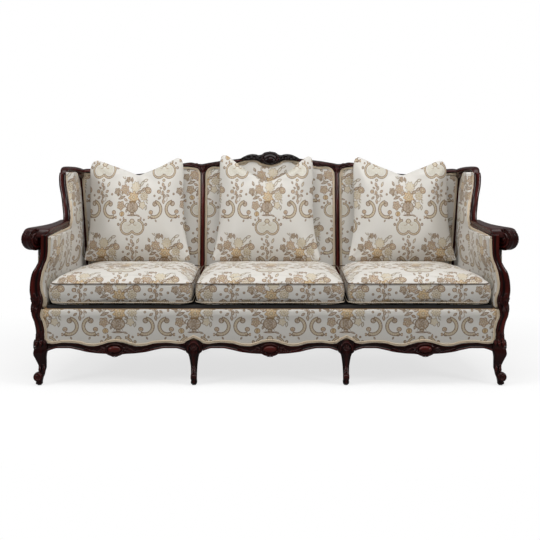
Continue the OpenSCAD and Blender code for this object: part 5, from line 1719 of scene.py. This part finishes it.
centre_line = panel_line(-STILE_IN, lambda s: STILE_IN + 0 * np.asarray(s, float))
side_line = panel_line(STILE_OUT, stile_inner_edge)
gimp_paths = []
for line in (centre_line, side_line, side_line * [-1, 1, 1]):
    gimp_paths += double_cord(line, BACK_OUT, True)
gimp_back = cords("gimp_round_back", gimp_paths, CORD_R, gimp)
finish_piece(gimp_back, gimp, "frame", ("gimp_back",))

post_z = np.linspace(SEAT_RAIL_Z - 2, LEG_TOP_Z + CORD_IN + 4, 50)
right_run = np.array([[post_inner_x(z) - CORD_IN, z] for z in post_z])
low_x = np.linspace(LEG_IN_X - 2, -LEG_IN_X + 2, 900)
low_run = np.stack([low_x, apron_high_z(low_x) + CORD_IN], axis=1)
band_line = np.vstack([right_run, low_run, right_run[::-1] * [-1, 1]])
band_line = np.column_stack([band_line[:, 0], np.full(len(band_line), 1.0), band_line[:, 1]])
band_line = resampled(band_line, 1100)
gimp_paths = double_cord(band_line, FORWARD, False)
for side in (LEFT, RIGHT):
    line = [(side * (post_inner_x(z) - 4), arm_pad_front(z) - 1, z)
            for z in np.linspace(SEAT_RAIL_Z + 8, ARM_PAD_TOP_Z - 8, 60)]
    gimp_paths += double_cord(line, FORWARD, False, 1.0)
    line = []
    for t in np.linspace(ARM_PAD_FRONT_T + 16, ARM_BACK_T - 4, 60):
        row = run_through(ARM_RAIL, [max(t / ARM_BACK_T, 0.08)])[0]
        line.append((side * (LEG_IN_X + KNUCKLE_REACH * row[2] - 3), t,
                     ARM_TOP_Z + ARM_RAIL_T * row[3] - 3))
    gimp_paths += double_cord(line, (-side, 0, 0), False, 1.0)
    line = []
    for z in np.linspace(OUT_ARM_TOP + 2, WING_TOP_Z - 12, 50):
        row = wing_post_row(z)
        line.append((side * (WING_X + WING_W * row[2] - 3), ARM_BACK_T + WING_RAKE * row[3] + 3, z))
    gimp_paths += double_cord(line, (-side * 0.5, -1, 0), False, 1.0)
gimp_front = cords("gimp_round_front", gimp_paths, CORD_R, gimp)
finish_piece(gimp_front, gimp, "frame", ("gimp_front",))


# Beads round the lower side of each boss, set out by a geometry tree

def beads_tree(material):
    """Sets a ball on every spot, no two quite of one size."""
    bench, given = geometry_bench("beads", (("Spots", "Geometry"), ("Radius", "Float")))
    ball = bench.node("GeometryNodeMeshIcoSphere", None,
                      {"Subdivisions": 2, "Radius": given["Radius"]})
    size = bench.node("FunctionNodeRandomValue", None, {2: 0.85, 3: 1.1, "Seed": 7}, out=1)
    spread = bench.node("GeometryNodeInstanceOnPoints", None,
                        {"Points": given["Spots"], "Instance": ball, "Scale": size})
    return painted(bench, spread, material)


BEAD_R = 2.3
spots = [(x + 29.5 * math.cos(a), -6.5, CARTOUCHE_Z + 21 * math.sin(a))
         for x in (-APRON_SIDE_MID, 0, APRON_SIDE_MID) for a in np.radians(np.linspace(188, 352, 13))]
boss_beads = new_shape("boss_beads", spots, [], [])
run_tree(boss_beads, beads_tree(mahogany_plain), {"Radius": BEAD_R * MM})
finish_piece(boss_beads, mahogany_plain, "frame")


# Loose cushions and pillows, filled by a cloth simulation

FORM_SHRINK = 0.985
FILLING_FRAMES = 20
MOST_MOVE = 0.025


def filled(name, work, room, inward):
    """A stuffed form blown up by a cloth simulation. room says from a face's direction how far it
    may move out, and inward how far it may sink, in metres."""
    piece = raw_piece(name, work)
    mesh = piece.data
    hull = BVHTree.FromPolygons([v.co for v in mesh.vertices],
                                [tuple(p.vertices) for p in mesh.polygons])
    full = mesh_points(mesh)
    middle = full.mean(axis=0)
    small = middle + (full - middle) * FORM_SHRINK
    mesh.vertices.foreach_set("co", small.ravel())
    settle = piece.modifiers.new("filling", "CLOTH")
    rules = settle.settings
    rules.quality = 5
    rules.mass = 0.15
    rules.tension_stiffness = 15
    rules.compression_stiffness = 15
    rules.shear_stiffness = 5
    rules.bending_stiffness = 0.3
    rules.use_pressure = True
    rules.uniform_pressure_force = 4
    rules.effector_weights.gravity = 0
    rules.shrink_min = -0.05
    settle.point_cache.frame_start = 1
    settle.point_cache.frame_end = FILLING_FRAMES
    for step in range(1, FILLING_FRAMES + 1):
        bpy.context.scene.frame_set(step)
    apply_modifiers(piece)
    move = mesh_points(piece.data) - small
    length = np.linalg.norm(move, axis=1)
    move *= np.minimum(1, MOST_MOVE / np.maximum(length, 1e-9))[:, None]
    placed = small + move
    bpy.context.scene.frame_set(1)
    for i, p in enumerate(placed):
        near, normal = hull.find_nearest(Vector(p))[:2]
        stands = (Vector(p) - near).dot(normal)
        kept = min(max(stands, -inward), room(normal))
        if kept != stands:
            placed[i] = np.array(near + normal * kept)
    piece.data.vertices.foreach_set("co", placed.ravel())
    finer = piece.modifiers.new("finer", "SUBSURF")
    finer.levels = finer.render_levels = 1
    apply_modifiers(piece)
    outward(piece)
    return piece


def mirrored(piece, name):
    """A copy of a piece on the other side."""
    mesh = piece.data.copy()
    points = mesh_points(mesh) * [-1, 1, 1]
    mesh.vertices.foreach_set("co", points.ravel())
    mesh.flip_normals()
    return new_object(name, mesh)


CUSHION_MAP_Z = 385.0
TOP_MAP_SHIFT = 434
FRONT_MAP_SHIFT = 40


def cushion_map(p, n):
    """Front and back faces hang, the top and bottom lie, and the sides turn the corner."""
    lying = np.abs(n[:, 2]) > 0.55
    sideways = ~lying & (np.abs(n[:, 0]) > np.abs(n[:, 1]))
    across = np.where(sideways, p[:, 1] + FRONT_MAP_SHIFT, p[:, 0] + COLUMN_GAP * lying)
    up = np.where(lying, p[:, 1] + TOP_MAP_SHIFT - CUSHION_MAP_Z,
                  p[:, 2] - CUSHION_MAP_Z + FRONT_MAP_SHIFT)
    return np.stack([across, up], axis=1)


TOP_ROOM = 0.0015
FRONT_ROOM = 0.004
SIDE_ROOM = 0.0003


def cushion_room(normal):
    """How far a cushion may swell: most at its front, a little on top, hardly at its neighbours."""
    if normal.z > 0.5:
        return TOP_ROOM
    if normal.y < -0.5:
        return FRONT_ROOM
    return SIDE_ROOM


CUSHION_BACK_T = SEAT_D - 6.0


def cushion_edge(t):
    """Outer edge of an outer cushion at depth t, beside the arm's padding."""
    t = max(t, ARM_PAD_FRONT_T)
    if t <= ARM_BACK_T:
        inner = arm_pad_in_x(DECK_TOP, t)
    else:
        inner = mix(arm_pad_back_x(SEAT_RAIL_Z), STILE_FOOT_X + STILE_W / 2 - PAD_T,
                    (t - ARM_BACK_T) / (SEAT_D - ARM_BACK_T))
    return min(inner - CUSHION_GAP, LEG_IN_X - PAD_T / 4) - 0.3


PIPING_R = 2.4
PIPING_STEP = 5.0
PIPING_TWIST = 9.0
PIPING_IN = 0.99
PIPING_HEIGHTS = (1.09, 0.16)
PIPING_CORNER = 0.111


def piping_ring(corners, height):
    """A ring round a cushion's edge at a height, from its plan's corners."""
    x0, x1, x2, x3 = corners
    line = []
    for a in round_angles(240):
        c, s = math.cos(a), math.sin(a)
        p = math.copysign(min(abs(c) ** PIPING_CORNER, 1), c)
        q = math.copysign(min(abs(s) ** PIPING_CORNER, 1), s)
        u, v = (1 + p * PIPING_IN) / 2, (1 + q * PIPING_IN) / 2
        line.append((mix(mix(x0, x1, u), mix(x2, x3, u), v), mix(0.3, CUSHION_BACK_T, v), height))
    return resampled(line, 400, closed=True)


def piping_build(bench):
    """The upper seam's cord takes a deep brown that is a painted shadow under the piping, and the
    lower one is pale.
    """
    run = bench.attribute("run")
    strands = (run * (2 * math.pi / (PIPING_TWIST * MM))).maths("SINE")
    fuzz = bench.noise(bench.place(), 300.0, 2.0)
    twist = bench.step(strands, -1, 1) * 0.5 + fuzz * 0.3
    # Painted shadow: the upper cord is coloured deep brown for the shade beneath the piping.
    seam_shadow_brown = bench.blend(colour(70, 56, 44), colour(112, 94, 76), twist)
    pale = bench.blend(colour(168, 152, 132), colour(205, 194, 176), twist)
    height = bench.apart(bench.place(), 2)
    upper = bench.step(height, (DECK_TOP + 50) * MM, (DECK_TOP + 60) * MM)
    tone = bench.blend(pale, seam_shadow_brown, upper)
    return {"Base Color": tone, "Roughness": 0.75, "Normal": bench.bump(fuzz, 0.0004, 0.6)}


piping = surface("piping", piping_build)
CUSHION_Z = DECK_TOP + 0.3
# The rings of a boxed cushion, from the middle of its underside to the middle of its top: the share
# of the plan's half width, the share of the box's height, and the share of the crown above it
CUSHION_ROWS = [[0.03, 0, 0], [0.3, 0, 0], [0.6, 0, 0], [0.85, 0, 0], [0.94, 0.0, 0],
                [0.966, 0.03, 0], [0.978, 0.1, 0], [0.985, 0.17, 0], [0.993, 0.26, 0], [1, 0.42, 0],
                [1.003, 0.6, 0], [1, 0.8, 0], [0.993, 0.97, 0], [0.986, 1.06, 0], [0.979, 1.11, 0.04],
                [0.95, 1.11, 0.2], [0.91, 1.11, 0.38], [0.85, 1.11, 0.57], [0.78, 1.11, 0.73],
                [0.69, 1.11, 0.86], [0.56, 1.11, 0.95], [0.42, 1.11, 0.99], [0.25, 1.11, 1.0],
                [0.1, 1.11, 1.0], [0.02, 1.11, 1]]
PLAN = unit_section(176, 18.0)
side_corners = (STILE_X + CUSHION_GAP / 2, cushion_edge(0), STILE_X + CUSHION_GAP / 2,
                cushion_edge(CUSHION_BACK_T))
centre_corners = tuple(x * (STILE_X - CUSHION_GAP / 2) for x in (-1, 1, -1, 1))
# Small folds along the front of the box: where, and how deep
TUCKS = ((-0.6, 4.0), (-0.52, 5.5), (-0.44, -3.5), (0.1, 4.0), (0.17, 5.5), (0.25, -4.5),
         (0.55, 5.5), (0.63, -4.0), (0.84, 3.0))


def boxed_form(corners, bulge):
    """A boxed cushion: flat below, a seam round each edge of its border, and a crowned top."""
    x0, x1, x2, x3 = corners
    rows = run_through([[i, *r] for i, r in enumerate(CUSHION_ROWS)],
                       np.linspace(0, len(CUSHION_ROWS) - 1, 84))
    work = Work()
    loops = []
    for _, share, box, crown in rows:
        u, v = (1 + PLAN[:, 0] * share) / 2, (1 + PLAN[:, 1] * share) / 2
        corner = np.abs(PLAN[:, 0] * PLAN[:, 1]) ** 5 * share**4
        spread = bulge * (1 - v) * np.maximum(PLAN[:, 0], 0) ** 2 * share
        tuck = sum(depth * bead(PLAN[:, 0] + 0.09 * box, at, 0.022) for at, depth in TUCKS)
        tuck = tuck * bead(box, 0.66, 0.3) * (crown < 0.01)
        z = CUSHION_Z + CUSHION_BOX_H * box + CUSHION_CROWN * crown + 11 * corner * max(1 - box, 0)
        z = z - 4 * corner * box - 0.1 * CUSHION_BOX_H * min(box, 1) * soft_step(v, 0.45, 0.8)
        loops.append(np.stack([mix(mix(x0, x1, u), mix(x2, x3, u), v) + spread,
                               mix(-3.0, CUSHION_BACK_T, v) - tuck * (PLAN[:, 1] < -0.9), z], axis=1))
    work.loft(loops)
    return work


CUSHION_SINK = 0.0035
SIDE_BULGE = 12.0
right_cushion = filled("cushion_soft_right", boxed_form(side_corners, SIDE_BULGE), cushion_room,
                       CUSHION_SINK)
centre_cushion = filled("cushion_soft_centre", boxed_form(centre_corners, 0.0), cushion_room,
                        CUSHION_SINK)
left_cushion = mirrored(right_cushion, "cushion_soft_left")
for name, piece, corners in (("left", left_cushion, side_corners),
                             ("centre", centre_cushion, centre_corners),
                             ("right", right_cushion, side_corners)):
    cloth_map(piece, cushion_map)
    finish_piece(piece, brocade, f"cushion_{name}", (f"seat_cushion_{name}",))
    way = [LEFT if name == "left" else RIGHT, 1, 1]
    rings = [(piping_ring(corners, CUSHION_Z + CUSHION_BOX_H * share) * way, True)
             for share in PIPING_HEIGHTS]
    cord = cords(f"piping_{name}", rings, PIPING_R, piping, PIPING_STEP)
    finish_piece(cord, piping, f"cushion_{name}")

PILLOW_MAP_UP = 270.0
PILLOW_MAP_WIDTH = 0.925
PILLOW_MAP_TAPER = 0.05
PILLOW_MAP_STRETCH = 0.94
PILLOW_MAP_FIXED = 150
PILLOW_MAP_SHIFT = 153
PILLOW_BASE_T = 519.0


def pillow_map_about(middle_x, base_z):
    """The cloth of a pillow: gathered sideways towards its top, and drawn out a little upwards."""
    def layout(p, n):
        up = (p[:, 2] - base_z) / math.cos(PILLOW_LEAN)
        gather = PILLOW_MAP_WIDTH - PILLOW_MAP_TAPER * up / PILLOW_SIDE
        slack = PILLOW_MAP_STRETCH * (up - PILLOW_MAP_FIXED) + PILLOW_MAP_SHIFT
        return np.stack([(p[:, 0] - middle_x) / gather, slack - PILLOW_MAP_UP], axis=1)
    return layout


PILLOW_FRONT_ROOM = 0.006
PILLOW_REAR_ROOM = 0.0004


def pillow_room(normal):
    """How far a pillow may swell: to the front, but not into the back or the cushion."""
    return PILLOW_FRONT_ROOM if normal.y < -0.3 and normal.z > -0.6 else PILLOW_REAR_ROOM


PILLOW_SINK = 0.005
PILLOW_WAIST = 0.908
EAR_R = 30.0
EAR_START = 0.84
SIDE_NOTCH = 78.0
CENTRE_NOTCH = 128.0


def pillow_form(low, high, notch, flare, ears, shift, tilt):
    """A pillow of two square faces that meet in a seam, chopped in at the top, leaning back."""
    run = np.sin(np.linspace(-np.pi / 2, np.pi / 2, 66))
    p, q = np.meshgrid(run, run)
    high_q = np.maximum(q, 0)
    round_off = 1 - 0.03 * np.abs(p * q) ** 9
    width = PILLOW_WAIST + 0.012 * high_q**2 + flare * np.maximum(-q, 0) ** 2.2
    across = p * PILLOW_SIDE / 2 * width * round_off
    ear = mix(ears[0], ears[1], (1 + p) / 2) * np.abs(p) ** 2 * high_q**2
    lobe = np.clip((np.abs(p) - EAR_START) / 0.16, 0, 1)
    ear = ear + 0.1 * notch * high_q**3 * soft_step(np.abs(p), 0.5, 0.85)
    ear = ear - EAR_R * (1 - np.sqrt(1 - 0.98 * lobe**2)) * high_q**5
    dip = np.clip(1 - np.abs(p - 0.05), 0, 1)
    up = q * PILLOW_SIDE / 2 * round_off - notch * dip ** 1.3 * high_q**3 + ear
    full = ((1 - np.abs(p) ** 2.5) * (1 - np.abs(q) ** 2.5)) ** 0.66
    chop = (1 - 0.3 * high_q * (1 - np.abs(p)) ** 2 - 0.28 * bead(p, 0, 0.09) * high_q**2)
    folds = np.zeros_like(p)
    for a, b in ((-1, -1), (1, -1), (-1, 1), (1, 1), (0, 1)):
        reach = np.hypot(p - a, q - b)
        turn = np.arctan2(q - b, p - a)
        folds += 3.6 * np.sin(9 * turn + a) * np.exp(-((reach - 0.45) / 0.3) ** 2)
    depth = PILLOW_T / 2 * full * chop + folds * np.minimum(full * 2, 1)
    work = Work()
    middle = (low.x + high.x) / 2 / MM + shift + tilt * (up / PILLOW_SIDE + 0.5)
    base_z = low.z / MM
    faces = []
    for side in (LEFT, RIGHT):
        y = side * depth
        z = up + PILLOW_SIDE / 2
        t = PILLOW_BASE_T + y * math.cos(PILLOW_LEAN) + z * math.sin(PILLOW_LEAN)
        h = base_z + z * math.cos(PILLOW_LEAN) - y * math.sin(PILLOW_LEAN)
        faces.append(np.stack([middle + across, t, h], axis=-1))
    work.pad(faces[0], faces[1])
    return work


for name, notch, flare, ears, shift, tilt, phase in (
        ("left", SIDE_NOTCH, 0.14, (-6, 22), 0, -16, -22),
        ("centre", CENTRE_NOTCH, 0.17, (29, 30), 4, 0, 8),
        ("right", SIDE_NOTCH, 0.16, (19, 0), -2, 0, 24)):
    low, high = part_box(f"throw_pillow_{name}")
    form = pillow_form(low, high, notch, flare, ears, shift, tilt)
    piece = filled(f"pillow_soft_{name}", form, pillow_room, PILLOW_SINK)
    cloth_map(piece, pillow_map_about((low.x + high.x) / 2 / MM + phase, low.z / MM))
    finish_piece(piece, brocade, f"pillow_{name}", (f"throw_pillow_{name}",))

# Finishes of the CAD pieces that stay

STAYING = ((mahogany_plain, ("rear_leg_left", "rear_leg_right", "rear_centre_legs",
                             "back_rail", "back_base_rail")),
           (beech, ("front_rail", "side_rail_left", "side_rail_right",
                    "seat_stretchers", "corner_blocks")),
           (steel, ("leg_glides", "frame_screws", "seat_springs", "spring_clips")),
           (lining, ("seat_deck", "dust_cover")),
           (jute, ("back_webbing",)))
for finish, nodes in STAYING:
    for node in nodes:
        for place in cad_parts[node].material_slots:
            place.material = finish


# Room: a pale floor, a white surround and soft lamps

SHADOW_REACH = (1.9, 1.1)


def floor_paper():
    """Paper that looks white far off and keeps a soft shadow near the sofa."""
    material = bpy.data.materials.new("floor_paper")
    material.use_nodes = True
    bench = Bench(material.node_tree)
    place = bench.place()
    seen = bench.node("ShaderNodeLightPath", out=0)
    clouds = bench.noise(place, 0.8, 2.0)
    tone = bench.blend(colour(250, 250, 250), colour(246, 246, 246), clouds)
    tone = bench.blend(colour(140, 140, 140), tone, seen)
    paper = bench.node("ShaderNodeBsdfPrincipled", None,
                       {"Base Color": tone, "Roughness": 0.9, "Specular IOR Level": 0.0})
    white = bench.node("ShaderNodeEmission", None, {"Color": (1, 1, 1, 1), "Strength": 1.0})
    near = bench.node("ShaderNodeCombineXYZ", None,
                      {axis: bench.apart(place, axis) / SHADOW_REACH[axis] for axis in (0, 1)})
    reach = bench.node("ShaderNodeVectorMath", {"operation": "LENGTH"}, {0: near}, out=1)
    share = bench.step(reach, 0.5, 1.4) * 0.28 + 0.72
    both = bench.node("ShaderNodeMixShader", None, {0: share * seen, 1: paper, 2: white})
    bench.node("ShaderNodeOutputMaterial", None, {0: both})
    return material


floor_mesh = bpy.data.meshes.new("floor")
floor_mesh.from_pydata([(-14, -8, 0), (14, -8, 0), (14, 16, 0), (-14, 16, 0)], [], [(0, 1, 2, 3)])
floor = new_object("floor", floor_mesh)
floor_mesh.materials.append(floor_paper())

world = bpy.data.worlds.new("studio")
bpy.context.scene.world = world
world.use_nodes = True
studio = Bench(world.node_tree)
seen = studio.node("ShaderNodeLightPath", out=0)
rise = studio.apart(studio.node("ShaderNodeTexCoord", out=0), 2)
sky = studio.step(rise, 0.0, 0.9) * 0.45 + 0.08
dim = studio.node("ShaderNodeBackground", None, {"Color": (1, 1, 1, 1), "Strength": sky})
bright = studio.node("ShaderNodeBackground", None, {"Color": (1, 1, 1, 1), "Strength": 1.0})
both = studio.node("ShaderNodeMixShader", None, {0: seen, 1: dim, 2: bright})
studio.node("ShaderNodeOutputWorld", None, {0: both})


def lamp(name, at, aim, size, power):
    """A soft rectangular lamp that looks at a point."""
    data = bpy.data.lights.new(name, "AREA")
    data.shape = "RECTANGLE"
    data.size, data.size_y = size
    data.energy = power
    made = new_object(name, data)
    made.location = at
    made.rotation_euler = (Vector(aim) - Vector(at)).to_track_quat("-Z", "Y").to_euler()


lamp("overhead", (0.1, -0.8, 3.0), (0, 0, 0.3), (3.4, 1.6), 62)
lamp("front_left", (-3.4, -2.3, 2.2), (-0.1, 0, 0.5), (1.0, 1.0), 44)
lamp("front_right", (3.4, -2.3, 2.0), (0.1, 0, 0.4), (0.8, 0.8), 38)
